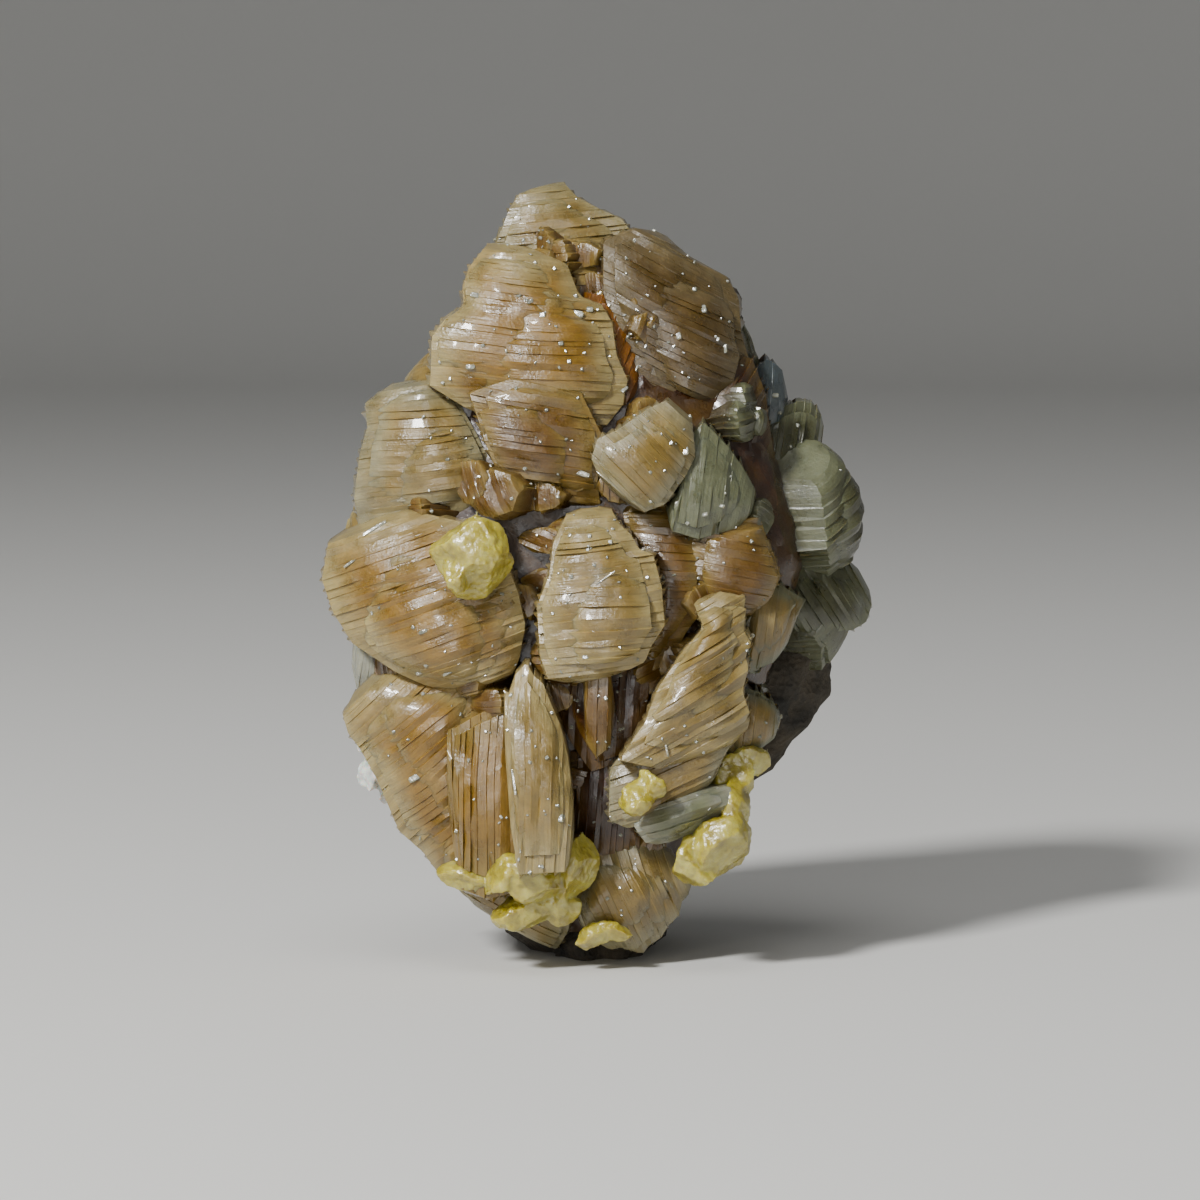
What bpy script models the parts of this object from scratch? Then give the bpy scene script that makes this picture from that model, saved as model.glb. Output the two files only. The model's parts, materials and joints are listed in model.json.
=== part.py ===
# Barite with native sulphur on dark matrix: a hand specimen that stands on the flat foot of its rock.
# The front faces -Y, +X is to the viewer's right, and the origin is under the middle of the specimen.
# Run it with: blender --background --python part.py

import math
import random

import bpy
import bmesh
from mathutils import Matrix, Vector, noise

MM = 0.001                 # the shapes below are written in millimetres
TOUCH_GAP = 0.3            # between minerals that touch

# Each crest is a stack of tabular barite crystals that share one root. `outline` is what is seen from
# the front (x across, z up). A "book" shows the edges of its pages, which run at `lines` degrees from
# horizontal. A "leaf" shows the faces of its pages. `front` and `rim` are the depths (y) of its most
# forward place and of its edge, and `slope` is how much deeper it gets per millimetre across and up.
# `turn` swings a crest round the upright axis, for those on the sides: its outline is then what is seen
# from that side.
CRESTS = {
    "summit": dict(
        kind="book", lines=7, pages=5, front=-4.5, rim=0.5, slope=(0.1, 0.30),
        outline=[(-10.7, 71.0), (-9.2, 74.6), (-8.0, 76.4), (-3.7, 77.5), (-2.2, 76.0), (0.0, 74.8),
                 (2.5, 73.6), (4.0, 71.6), (4.2, 69.0), (2.5, 65.5), (-2.5, 64.7), (-8.0, 66.5)]),
    "upper_left": dict(
        kind="book", lines=-4, pages=7, front=-12.5, rim=-0.5, slope=(0.0, 0.16),
        outline=[(-17.1, 57.5), (-16.9, 62.2), (-15.7, 63.8), (-13.7, 65.2), (-13.8, 66.9), (-13.1, 69.0),
                 (-11.0, 71.5), (-7.2, 71.1), (-3.0, 69.3), (-1.7, 66.2), (0.5, 65.4), (1.6, 63.5),
                 (2.1, 60.3), (3.2, 58.0), (2.7, 55.6), (0.0, 52.5), (-6.0, 53.0), (-13.0, 55.0)]),
    "middle_shelf": dict(
        kind="book", lines=-8, pages=5, front=-14.0, rim=-8.0, slope=(0.0, -0.1),
        outline=[(-13.0, 57.0), (-8.0, 58.5), (-2.0, 57.5), (0.5, 52.7), (0.0, 48.0), (0.3, 45.7),
                 (-3.0, 45.7), (-7.0, 46.2), (-9.5, 46.7), (-10.3, 49.2), (-11.5, 52.2)]),
    "left_shelf": dict(
        kind="book", lines=7, pages=6, front=-10.5, rim=-0.5, slope=(-0.2, 0.15),
        outline=[(-20.3, 57.6), (-15.5, 57.9), (-13.6, 55.7), (-11.8, 52.7), (-10.2, 49.5), (-9.8, 47.0),
                 (-13.0, 44.5), (-18.0, 43.5), (-24.0, 43.0), (-24.6, 46.2), (-24.0, 50.7), (-23.2, 53.2),
                 (-23.4, 55.6)]),
    "left_fan": dict(
        kind="book", lines=21, pages=8, front=-16.5, rim=-2.0, slope=(-0.25, 0.0),
        outline=[(-27.7, 38.3), (-26.9, 42.0), (-24.3, 43.5), (-19.7, 45.6), (-15.1, 44.8), (-9.6, 43.9),
                 (-8.7, 40.8), (-7.5, 37.6), (-6.9, 34.5), (-7.6, 31.2), (-8.7, 28.6), (-12.5, 27.7),
                 (-17.0, 28.0), (-20.4, 29.4), (-24.6, 32.0), (-26.6, 35.1)]),
    "grey_blade": dict(
        kind="leaf", pages=2, front=-2.5, rim=1.0, slope=(-0.4, 0.0),
        outline=[(-24.7, 32.5), (-22.5, 33.0), (-18.5, 30.0), (-18.5, 26.0), (-22.6, 25.5), (-24.4, 26.7),
                 (-24.9, 29.2)]),
    "lower_left": dict(
        kind="book", lines=40, pages=7, front=-13.0, rim=-1.5, slope=(-0.15, -0.1),
        outline=[(-24.1, 27.5), (-25.5, 24.9), (-25.0, 23.0), (-23.8, 21.4), (-22.0, 18.0), (-21.0, 15.7),
                 (-20.0, 13.3), (-17.6, 11.3), (-15.6, 8.5), (-12.5, 8.0), (-11.5, 15.7), (-11.0, 22.0),
                 (-11.0, 28.5), (-15.0, 29.5), (-19.5, 29.5), (-22.5, 28.7)]),
    "lower_middle": dict(
        kind="book", lines=88, pages=5, front=-15.5, rim=-9.0, slope=(0.0, 0.0),
        outline=[(-15.2, 24.0), (-12.0, 26.0), (-9.0, 27.4), (-7.6, 25.7), (-6.6, 19.7), (-6.2, 13.7),
                 (-6.5, 8.0), (-11.0, 7.0), (-13.8, 8.0), (-14.5, 13.7), (-15.3, 19.7)]),
    "spear": dict(
        kind="book", lines=86, pages=5, front=-18.6, rim=-13.0, slope=(0.0, 0.12),
        outline=[(-7.1, 31.3), (-6.4, 30.1), (-5.5, 29.3), (-4.8, 27.5), (-3.7, 25.0), (-3.0, 21.7),
                 (-2.5, 17.2), (-2.5, 14.0), (-3.2, 10.5), (-8.0, 10.0), (-8.8, 15.7), (-9.2, 21.7),
                 (-9.4, 28.2), (-8.8, 28.0), (-8.4, 29.7), (-7.7, 30.5)]),
    "centre_comb": dict(
        kind="book", lines=4, pages=7, front=-19.0, rim=-12.0, slope=(0.0, 0.12),
        outline=[(-3.4, 45.1), (-1.0, 45.9), (1.2, 45.7), (2.1, 44.2), (3.2, 43.3), (4.0, 41.9),
                 (5.4, 41.4), (5.8, 40.0), (6.3, 38.2), (6.4, 36.5), (6.6, 34.7), (5.2, 32.5),
                 (4.6, 31.0), (2.0, 29.8), (-1.5, 28.7), (-5.2, 29.2), (-6.1, 31.7), (-6.4, 36.2),
                 (-5.2, 39.2), (-4.7, 42.5)]),
    "under_comb": dict(
        kind="book", lines=84, pages=4, front=-13.5, rim=-8.5, slope=(0.0, 0.0),
        outline=[(-5.2, 31.2), (-1.5, 31.5), (4.0, 32.0), (5.6, 29.7), (5.0, 26.2), (4.0, 23.2),
                 (2.0, 20.5), (-1.0, 19.5), (-3.0, 22.7), (-4.7, 26.7)]),
    "small_column": dict(
        kind="book", lines=88, pages=2, front=-16.0, rim=-12.0, slope=(0.0, -0.1),
        outline=[(-1.7, 30.0), (1.0, 30.5), (1.5, 26.0), (1.1, 22.5), (-0.3, 21.3), (-1.4, 23.0)]),
    "pale_tongue": dict(
        kind="book", lines=-42, pages=5, front=-16.5, rim=-10.5, slope=(0.2, 0.1),
        outline=[(-1.0, 50.8), (-0.4, 52.7), (1.5, 53.5), (4.5, 55.5), (6.8, 56.4), (9.0, 54.4),
                 (9.4, 50.7), (8.4, 48.7), (6.5, 46.0), (4.2, 45.2), (1.8, 46.7), (0.0, 48.5)]),
    "round_plate": dict(
        kind="leaf", pages=3, front=-13.5, rim=-8.0, slope=(0.35, 0.1),
        outline=[(8.8, 52.8), (10.2, 54.3), (12.5, 51.8), (14.1, 49.5), (15.4, 47.0), (15.1, 45.2),
                 (13.4, 43.5), (9.5, 42.4), (7.0, 43.2), (6.4, 45.6), (7.8, 47.7)]),
    "upper_right": dict(
        kind="book", lines=-28, pages=6, front=-8.0, rim=1.5, slope=(0.35, 0.15),
        outline=[(0.0, 71.8), (3.2, 72.9), (6.2, 72.4), (9.2, 69.7), (11.2, 68.9), (12.8, 67.9),
                 (14.1, 65.7), (14.3, 62.2), (15.1, 59.9), (14.0, 55.8), (11.5, 52.8), (8.0, 53.0),
                 (4.5, 54.5), (2.5, 58.7), (1.2, 62.7), (0.0, 66.7)]),
    "amber_band": dict(
        kind="book", lines=70, pages=2, front=-8.8, rim=-4.0, slope=(0.2, 0.1),
        outline=[(-1.7, 66.6), (0.6, 66.4), (2.6, 64.1), (4.0, 61.2), (4.6, 57.7), (4.3, 55.0),
                 (2.5, 53.5), (0.5, 53.0), (-1.5, 55.7), (-2.5, 60.7)]),
    "behind_plate": dict(
        kind="book", lines=60, pages=4, front=-6.5, rim=1.0, slope=(0.45, 0.0),
        outline=[(12.5, 61.0), (15.2, 60.1), (16.6, 56.7), (17.1, 52.7), (17.6, 48.7), (16.0, 45.0),
                 (12.5, 44.0), (10.0, 48.0), (9.5, 53.2), (11.0, 57.7)]),
    "blue_leaf": dict(
        kind="leaf", pages=2, front=-1.0, rim=4.0, slope=(0.5, 0.1),
        outline=[(14.0, 55.9), (15.1, 58.5), (16.6, 60.0), (18.1, 59.0), (18.9, 55.7), (18.0, 53.5),
                 (14.8, 52.5)]),
    "flank_disc_upper": dict(
        kind="leaf", pages=3, front=0.5, rim=5.0, slope=(0.55, 0.05),
        outline=[(18.6, 55.3), (20.0, 55.7), (21.4, 55.4), (22.2, 54.4), (22.6, 52.8), (22.4, 51.1),
                 (21.7, 49.6), (20.6, 48.2), (18.5, 46.8), (15.6, 48.1), (14.8, 51.4), (15.9, 54.1)]),
    "flank_disc_middle": dict(
        kind="leaf", pages=3, front=0.5, rim=6.0, slope=(0.55, 0.0),
        outline=[(19.0, 46.6), (20.8, 46.9), (22.6, 45.9), (23.8, 44.6), (24.0, 43.2), (23.4, 41.8),
                 (22.4, 40.2), (20.6, 39.0), (18.0, 39.6), (16.8, 42.0), (17.2, 45.0)]),
    "flank_disc_lower": dict(
        kind="book", lines=-62, pages=5, front=-0.5, rim=7.0, slope=(0.5, 0.0),
        outline=[(22.0, 40.4), (24.9, 39.5), (26.4, 38.1), (27.3, 36.3), (27.5, 34.8), (26.9, 33.0),
                 (25.6, 32.3), (22.8, 32.0), (20.0, 32.0), (18.2, 33.3), (17.3, 36.3), (18.7, 39.5)]),
    "right_comb": dict(
        kind="book", lines=-12, pages=5, front=-12.5, rim=-5.0, slope=(0.25, 0.0),
        outline=[(9.0, 43.5), (11.6, 44.6), (14.0, 44.6), (15.7, 45.0), (16.4, 42.7), (17.3, 40.7),
                 (17.9, 38.7), (17.0, 36.7), (15.2, 34.9), (12.0, 34.5), (9.4, 35.5), (8.4, 39.5)]),
    "tooth_plate": dict(
        kind="leaf", pages=2, front=-9.5, rim=-3.0, slope=(0.45, 0.0),
        outline=[(14.6, 36.0), (15.5, 38.0), (16.8, 38.5), (18.2, 37.8), (20.5, 36.0), (19.3, 34.4),
                 (19.0, 32.4), (17.3, 30.0), (14.5, 29.0), (13.4, 32.9)]),
    "inner_right": dict(
        kind="book", lines=-4, pages=6, front=-13.0, rim=-7.0, slope=(0.0, 0.1),
        outline=[(2.0, 46.2), (6.5, 46.9), (10.0, 44.0), (10.6, 39.7), (10.2, 35.7), (8.6, 33.5),
                 (7.0, 30.7), (5.2, 28.2), (3.0, 30.7), (3.5, 35.7), (2.5, 41.2)]),
    "right_fan": dict(
        kind="book", lines=30, pages=7, front=-17.5, rim=-11.0, slope=(0.25, 0.1),
        outline=[(1.6, 21.4), (4.2, 24.9), (5.3, 28.2), (7.7, 31.7), (9.9, 34.0), (9.0, 36.6),
                 (11.6, 37.6), (14.3, 37.1), (14.0, 34.6), (15.1, 32.9), (14.3, 31.5), (14.7, 30.2),
                 (14.0, 27.5), (14.8, 24.7), (13.0, 22.5), (9.5, 21.5), (5.5, 20.5)]),
    "lobed_plate": dict(
        kind="leaf", pages=2, front=-11.5, rim=-5.0, slope=(0.4, 0.0),
        outline=[(13.0, 28.5), (15.7, 27.5), (17.2, 26.3), (18.0, 24.5), (17.5, 22.8), (15.9, 21.6),
                 (13.0, 20.5), (10.5, 22.5), (11.0, 26.7)]),
    "lower_right": dict(
        kind="book", lines=22, pages=5, front=-16.0, rim=-9.0, slope=(0.1, 0.0),
        outline=[(0.6, 20.2), (2.5, 22.4), (6.4, 23.5), (11.0, 24.5), (13.2, 24.5), (13.3, 23.2),
                 (12.2, 21.2), (11.4, 19.3), (9.4, 17.3), (6.8, 15.7), (3.2, 14.2), (0.6, 15.2)]),
    "bright_ledge": dict(
        kind="book", lines=14, pages=4, front=-16.5, rim=-8.5, slope=(0.1, -0.1),
        outline=[(2.9, 14.9), (4.5, 17.0), (6.8, 17.9), (10.0, 18.5), (12.9, 18.7), (13.3, 17.2),
                 (11.3, 15.3), (9.0, 13.6), (6.5, 12.6), (4.3, 13.0)]),
    "recess_columns": dict(
        kind="book", lines=88, pages=4, front=-11.5, rim=-6.5, slope=(0.0, -0.1),
        outline=[(-3.5, 21.7), (1.0, 22.5), (2.7, 19.7), (3.6, 15.7), (4.3, 11.0), (0.0, 9.5),
                 (-3.5, 10.5)]),
    "foot_left": dict(
        kind="book", lines=-30, pages=5, front=-9.5, rim=-2.0, slope=(-0.1, -0.2),
        outline=[(-15.6, 9.0), (-12.5, 11.5), (-8.0, 12.0), (-4.0, 11.0), (-2.4, 7.0), (-2.8, 3.2),
                 (-3.6, 1.8), (-4.5, 0.9), (-5.6, 2.0), (-8.2, 2.9), (-11.2, 5.0), (-13.6, 6.6)]),
    "foot_right": dict(
        kind="book", lines=-68, pages=6, front=-11.5, rim=-1.5, slope=(0.15, -0.1),
        outline=[(-2.8, 7.0), (-0.8, 12.2), (3.3, 12.9), (6.0, 12.0), (9.1, 9.6), (9.1, 7.4),
                 (8.2, 6.2), (7.9, 4.8), (6.8, 3.7), (6.2, 2.6), (4.9, 1.7), (4.4, 0.9), (3.3, 1.2),
                 (2.1, 1.6), (1.0, 1.4), (-0.8, 2.6), (-2.2, 4.0)]),
    "left_side_upper": dict(
        kind="book", lines=15, pages=5, front=-19.0, rim=-11.5, slope=(0.3, 0.3), turn=-72,
        outline=[(-12.0, 50.0), (-10.5, 58.0), (-5.5, 64.0), (0.0, 62.5), (3.0, 55.5), (1.0, 48.5),
                 (-5.0, 45.5)]),
    "left_side_middle": dict(
        kind="book", lines=-35, pages=5, front=-25.5, rim=-16.0, slope=(0.25, 0.0), turn=-72,
        outline=[(-11.0, 40.0), (-7.0, 46.5), (-1.0, 47.0), (3.5, 41.5), (2.0, 34.0), (-4.0, 31.0),
                 (-9.5, 33.5)]),
    "left_side_lower": dict(
        kind="leaf", pages=3, front=-22.5, rim=-14.0, slope=(0.25, -0.2), turn=-72,
        outline=[(-9.5, 23.0), (-6.5, 29.0), (-1.0, 30.0), (3.0, 25.0), (2.5, 17.5), (-3.0, 13.5),
                 (-8.0, 16.5)]),
    "right_side_upper": dict(
        kind="leaf", pages=3, front=-15.0, rim=-8.0, slope=(-0.1, 0.25), turn=74,
        outline=[(-2.0, 58.0), (0.5, 64.5), (5.5, 66.5), (9.0, 61.0), (8.0, 54.0), (3.0, 51.5)]),
    "right_side_middle": dict(
        kind="book", lines=35, pages=5, front=-25.0, rim=-14.0, slope=(0.1, 0.0), turn=74,
        outline=[(2.0, 41.0), (2.5, 48.0), (7.0, 52.0), (11.5, 48.0), (12.0, 41.5), (8.0, 37.0)]),
    "right_side_lower": dict(
        kind="leaf", pages=3, front=-23.5, rim=-15.0, slope=(0.1, -0.15), turn=74,
        outline=[(5.5, 32.0), (6.0, 37.5), (10.0, 40.0), (14.0, 36.5), (13.5, 30.5), (9.5, 28.0)]),
}

# The crust that the crests grow from, and the rock behind it: oval sections from the foot up.
CRUST_SECTIONS = [         # z, left, right, front, back
    (3.0, -8.0, 5.5, -5.5, 7.0), (9.0, -13.5, 8.0, -8.0, 7.5), (16.0, -18.5, 11.0, -9.5, 8.0),
    (24.0, -22.0, 15.0, -10.0, 8.5), (32.0, -23.0, 18.5, -10.5, 9.0), (40.0, -23.5, 20.5, -10.5, 9.0),
    (48.0, -21.5, 18.5, -10.0, 8.5), (56.0, -18.0, 15.5, -8.5, 8.0), (64.0, -12.5, 11.5, -5.5, 7.5),
    (71.0, -8.0, 5.5, -1.5, 6.5), (74.0, -5.0, 1.0, 1.5, 5.0)]
ROCK_SECTIONS = [
    (0.0, -7.2, 4.2, -5.0, 14.5), (1.2, -8.2, 5.0, -5.2, 15.5), (4.0, -10.4, 6.6, -4.6, 16.4),
    (8.0, -14.2, 8.6, -3.8, 17.2), (12.0, -16.8, 11.8, -3.2, 18.0), (16.0, -18.6, 14.4, -3.0, 18.6),
    (20.0, -19.6, 17.6, -2.6, 19.2), (24.0, -20.8, 20.0, -2.4, 19.8), (28.0, -21.8, 21.2, -2.2, 20.0),
    (32.0, -23.0, 23.2, -2.0, 19.8), (37.0, -24.0, 24.2, -1.8, 19.2), (42.0, -24.0, 23.4, -1.4, 18.6),
    (47.0, -22.6, 21.4, -1.0, 17.2), (52.0, -20.4, 18.8, -0.8, 16.4), (57.0, -18.0, 16.8, -0.4, 15.4),
    (62.0, -15.2, 15.0, 0.2, 14.4), (66.0, -12.4, 13.4, 1.0, 13.4), (70.0, -9.4, 8.8, 2.4, 12.0),
    (73.0, -5.5, 2.5, 4.2, 9.6)]

# Sulphur: clusters of blocky crystals, each with its middle, its half-sizes and a turn about Y.
SULPHUR = {
    "sulphur_left": [
        ((-12.4, -17.6, 41.2), (3.5, 2.4, 3.6), 15), ((-11.2, -18.3, 42.6), (2.3, 1.7, 1.9), 50),
        ((-13.6, -18.2, 39.9), (1.8, 1.7, 1.7), 70)],
    "sulphur_small": [
        ((3.5, -18.6, 17.9), (1.5, 1.6, 1.5), 35), ((5.1, -18.2, 19.3), (1.6, 1.2, 1.1), 25)],
    "sulphur_right": [
        ((11.6, -12.8, 13.0), (2.5, 3.2, 3.3), 20), ((9.2, -13.6, 11.2), (2.4, 2.4, 2.1), 65),
        ((12.7, -11.4, 16.2), (1.7, 2.8, 2.6), 0), ((13.2, -10.6, 19.4), (1.9, 2.2, 2.4), 40),
        ((14.9, -10.4, 20.9), (1.6, 1.7, 1.4), 20)],
    "sulphur_lower": [
        ((-9.4, -13.9, 9.8), (2.0, 2.0, 2.2), 40), ((-12.6, -12.2, 9.2), (2.8, 2.0, 1.3), 15),
        ((-6.4, -14.4, 9.5), (2.6, 2.4, 2.1), 10), ((-2.9, -13.2, 10.6), (2.5, 2.3, 2.9), 30),
        ((-7.2, -12.6, 6.2), (3.0, 2.2, 1.7), -10), ((-4.0, -12.2, 6.6), (1.8, 1.8, 1.9), 60)],
    "sulphur_foot": [
        ((-0.9, -11.7, 3.4), (1.9, 1.3, 1.2), -20), ((1.5, -12.0, 3.9), (1.7, 1.0, 0.8), 25)],
}
WHITE_CHIP = [
    ((-22.3, -4.2, 19.2), (1.6, 2.2, 2.4), 10), ((-22.4, -3.4, 21.4), (1.5, 1.6, 1.6), -20),
    ((-20.9, -3.6, 17.2), (1.3, 1.7, 1.4), 30)]

LOOKS = {                  # colour, roughness
    "matrix_rock": ((0.035, 0.030, 0.024, 1.0), 0.85),
    "barite_crests": ((0.42, 0.31, 0.17, 1.0), 0.30),
    "sulphur": ((0.62, 0.56, 0.10, 1.0), 0.32),
    "white_chip": ((0.62, 0.62, 0.57, 1.0), 0.60),
}


# Scene

def clear_scene():
    for item in list(bpy.data.objects):
        bpy.data.objects.remove(item, do_unlink=True)


def new_collection(name):
    group = bpy.data.collections.new(name)
    bpy.context.scene.collection.children.link(group)
    return group


def finish(name, look):
    colour, roughness = LOOKS[look]
    material = bpy.data.materials.new(name)
    material.use_nodes = True
    shader = material.node_tree.nodes["Principled BSDF"]
    shader.inputs["Base Color"].default_value = colour
    shader.inputs["Roughness"].default_value = roughness
    shader.inputs["Metallic"].default_value = 0.0
    return material


def make_object(name, mesh_data, group):
    item = bpy.data.objects.new(name, mesh_data)
    group.objects.link(item)
    return item


def hide_cutter(item):
    item.hide_render = True
    item.display_type = "WIRE"


# Lofts

def loft(name, rings):
    # A closed body through rings of equally many points (millimetres), with a cap at each end.
    shape = bmesh.new()
    loops = [[shape.verts.new(Vector(p) * MM) for p in ring] for ring in rings]
    count = len(rings[0])
    for lower, upper in zip(loops, loops[1:]):
        for i in range(count):
            j = (i + 1) % count
            shape.faces.new((lower[i], lower[j], upper[j], upper[i]))
    shape.faces.new(loops[0][::-1])
    shape.faces.new(loops[-1])
    bmesh.ops.recalc_face_normals(shape, faces=shape.faces)
    bmesh.ops.triangulate(shape, faces=shape.faces)
    mesh_data = bpy.data.meshes.new(name)
    shape.to_mesh(mesh_data)
    shape.free()
    return mesh_data


def chord(outline, u_axis, v_axis, v):
    # Where a line across the outline, at distance v along v_axis, enters and leaves it.
    hits = []
    flat = [(Vector(p).dot(u_axis), Vector(p).dot(v_axis)) for p in outline]
    for (u0, v0), (u1, v1) in zip(flat, flat[1:] + flat[:1]):
        if (v0 - v) * (v1 - v) < 0:
            hits.append(u0 + (u1 - u0) * (v - v0) / (v1 - v0))
    return min(hits), max(hits)


def place(point, crest, middle):
    # Draw the root in, lean the crest as its slope says, then swing it round the upright axis.
    x, y, z = point
    rooted = ROOT_PULL * max(0.0, (y - crest["rim"]) / ROOT_DEPTH)
    x += rooted * (middle[0] * ROOT_INWARD - x)
    z += rooted * (WAIST + (middle[1] - WAIST) * 0.8 - z)
    y += crest["slope"][0] * (x - middle[0]) + crest["slope"][1] * (z - middle[1])
    return Matrix.Rotation(math.radians(crest.get("turn", 0)), 3, "Z") @ Vector((x, y, z))


def outline_middle(outline):
    return (sum(p[0] for p in outline) / len(outline), sum(p[1] for p in outline) / len(outline))


def book_crest(name, crest, rand):
    # Pages seen edge on: a loft across them that pinches in between each page and the next.
    angle = math.radians(crest["lines"])
    u_axis = Vector((math.cos(angle), math.sin(angle)))
    v_axis = Vector((-math.sin(angle), math.cos(angle)))
    outline = crest["outline"]
    across = [Vector(p).dot(v_axis) for p in outline]
    low, high = min(across), max(across)
    pitch = (high - low) / crest["pages"]
    middle = outline_middle(outline)
    back = crest["rim"] + ROOT_DEPTH
    stations = [(low + 0.03 * pitch, 0.0)]
    for page in range(crest["pages"]):
        rim_at = low + pitch * (page + rand.uniform(0.55, 0.8))
        stations.append((rim_at, -rand.uniform(0.2, 0.6)))
        if page < crest["pages"] - 1:
            stations.append((rim_at + 0.16 * pitch, GROOVE * rand.uniform(0.7, 1.2)))
    stations.append((high - 0.03 * pitch, 0.0))
    rings = []
    for v, inset in stations:
        left, right = chord(outline, u_axis, v_axis, v)
        inset_u = min(inset, 0.3 * (right - left))
        left, right = left + inset_u, right - inset_u
        along = (2 * v - low - high) / (high - low)
        crown = math.sqrt(max(0.0, 1 - along * along)) ** 0.8
        top = crest["rim"] + (crest["front"] - crest["rim"]) * crown + inset
        half = (right - left) / 2
        profile = [(-0.75, back), (-1.0, crest["rim"] + inset)]
        for share, rise in BOOK_PROFILE:
            profile.append((share, crest["rim"] + (top - crest["rim"]) * rise))
        profile += [(1.0, crest["rim"] + inset), (0.75, back)]
        ring = []
        for share, y in profile:
            u = (left + right) / 2 + share * half
            flat = u_axis * u + v_axis * v
            ring.append(place((flat.x, y, flat.y), crest, middle))
        rings.append(ring)
    return loft(name, rings)


def leaf_crest(name, crest, rand):
    # Pages seen face on: a loft from the front page back to the root, stepping out at each page.
    outline = crest["outline"]
    middle = outline_middle(outline)
    pages = crest["pages"]
    step = (crest["rim"] - crest["front"]) / pages
    levels = [(crest["front"], 0.42)]
    for page in range(pages):
        size = 0.72 + 0.28 * (page + 1) / pages
        depth = crest["front"] + step * (page + 0.35)
        levels.append((depth, size))
        if page < pages - 1:
            levels.append((depth + 0.45 * step, size - 0.09))
    levels.append((crest["rim"] + ROOT_DEPTH, 0.7))
    rings = []
    for depth, size in levels:
        shift = (rand.uniform(-0.25, 0.25), rand.uniform(-0.25, 0.25))
        ring = []
        for x, z in outline:
            flat_x = middle[0] + (x - middle[0]) * size + shift[0] * (1 - size) * 4
            flat_z = middle[1] + (z - middle[1]) * size + shift[1] * (1 - size) * 4
            ring.append(place((flat_x, depth, flat_z), crest, middle))
        rings.append(ring)
    return loft(name, rings)


ROOT_DEPTH = 9.0           # how far behind its rim a crest goes on into the crust
ROOT_PULL = 0.5            # share of the way that a root's end is drawn towards its seat
ROOT_INWARD = 0.5          # a seat's distance from the upright axis, as a share of the crest's
WAIST = 38.0               # height that the roots are drawn towards
GROOVE = 0.75              # depth of the notch between two pages
BOOK_PROFILE = [(-0.75, 0.62), (-0.05, 1.0), (0.72, 0.64)]    # share of half-width, of rise
ROCK_SIDES = 20
CRUST_SIDES = 12
ROCK_ROUGHNESS = (1.5, 0.7)    # millimetres that the rock's humps and its chips stand in or out
ROCK_GRAIN = (0.10, 0.35)      # humps and chips per millimetre


def lump(name, sections, sides, rough=(0.0, 0.0), grow=0.0):
    # A rock-like body through oval sections. grow moves its skin out evenly.
    rings = []
    for z, left, right, front, back in sections:
        ring = []
        for i in range(sides):
            turn = 2 * math.pi * i / sides
            side, deep = math.cos(turn), math.sin(turn)
            x = (left + right) / 2 + (right - left) / 2 * math.copysign(abs(side) ** 0.8, side)
            y = (front + back) / 2 + (back - front) / 2 * math.copysign(abs(deep) ** 0.8, deep)
            spot = Vector((x, y, z))
            bump = sum(height * 2 * noise.noise(spot * grain) for height, grain in zip(rough, ROCK_GRAIN))
            ring.append(spot + Vector((side, deep, 0.0)) * bump)
        rings.append(ring)
    mesh_data = loft(name, rings)
    if grow:
        shape = bmesh.new()
        shape.from_mesh(mesh_data)
        shape.normal_update()
        moves = [vert.normal * grow * MM for vert in shape.verts]
        for vert, move in zip(shape.verts, moves):
            vert.co += move
        shape.to_mesh(mesh_data)
        shape.free()
    return mesh_data


def crystal_chunk(name, middle, half_sizes, turn, seed, grow=0.0):
    # A blocky crystal: a ball cut by flat faces at seeded places.
    rand = random.Random(seed)
    shape = bmesh.new()
    bmesh.ops.create_icosphere(shape, subdivisions=1, radius=1.25)
    for _ in range(8):
        normal = Vector((rand.uniform(-1, 1), rand.uniform(-1, 1), rand.uniform(-1, 1))).normalized()
        reach = rand.uniform(0.72, 0.95)
        cut = bmesh.ops.bisect_plane(
            shape, geom=shape.verts[:] + shape.edges[:] + shape.faces[:], plane_co=normal * reach,
            plane_no=normal, clear_outer=True)
        rim = [item for item in cut["geom_cut"] if isinstance(item, bmesh.types.BMEdge)]
        bmesh.ops.edgeloop_fill(shape, edges=rim)
    scale = Matrix.Diagonal([(size + grow) * MM for size in half_sizes] + [1.0])
    spin = Matrix.Rotation(math.radians(turn), 4, "Y")
    shift = Matrix.Translation(Vector(middle) * MM)
    bmesh.ops.transform(shape, matrix=shift @ spin @ scale, verts=shape.verts)
    bmesh.ops.recalc_face_normals(shape, faces=shape.faces)
    bmesh.ops.dissolve_limit(
        shape, angle_limit=math.radians(14), verts=shape.verts, edges=shape.edges)
    bmesh.ops.triangulate(shape, faces=shape.faces)
    mesh_data = bpy.data.meshes.new(name)
    shape.to_mesh(mesh_data)
    shape.free()
    return mesh_data


# Joining and cutting

def baked(item, name):
    # The object's shape with its modifiers, as a new mesh without slivers or loose chips.
    graph = bpy.context.evaluated_depsgraph_get()
    mesh_data = bpy.data.meshes.new_from_object(item.evaluated_get(graph))
    mesh_data.name = name
    shape = bmesh.new()
    shape.from_mesh(mesh_data)
    bmesh.ops.triangulate(shape, faces=shape.faces)
    keep_largest(shape)
    shape.to_mesh(mesh_data)
    shape.free()
    return mesh_data


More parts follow.
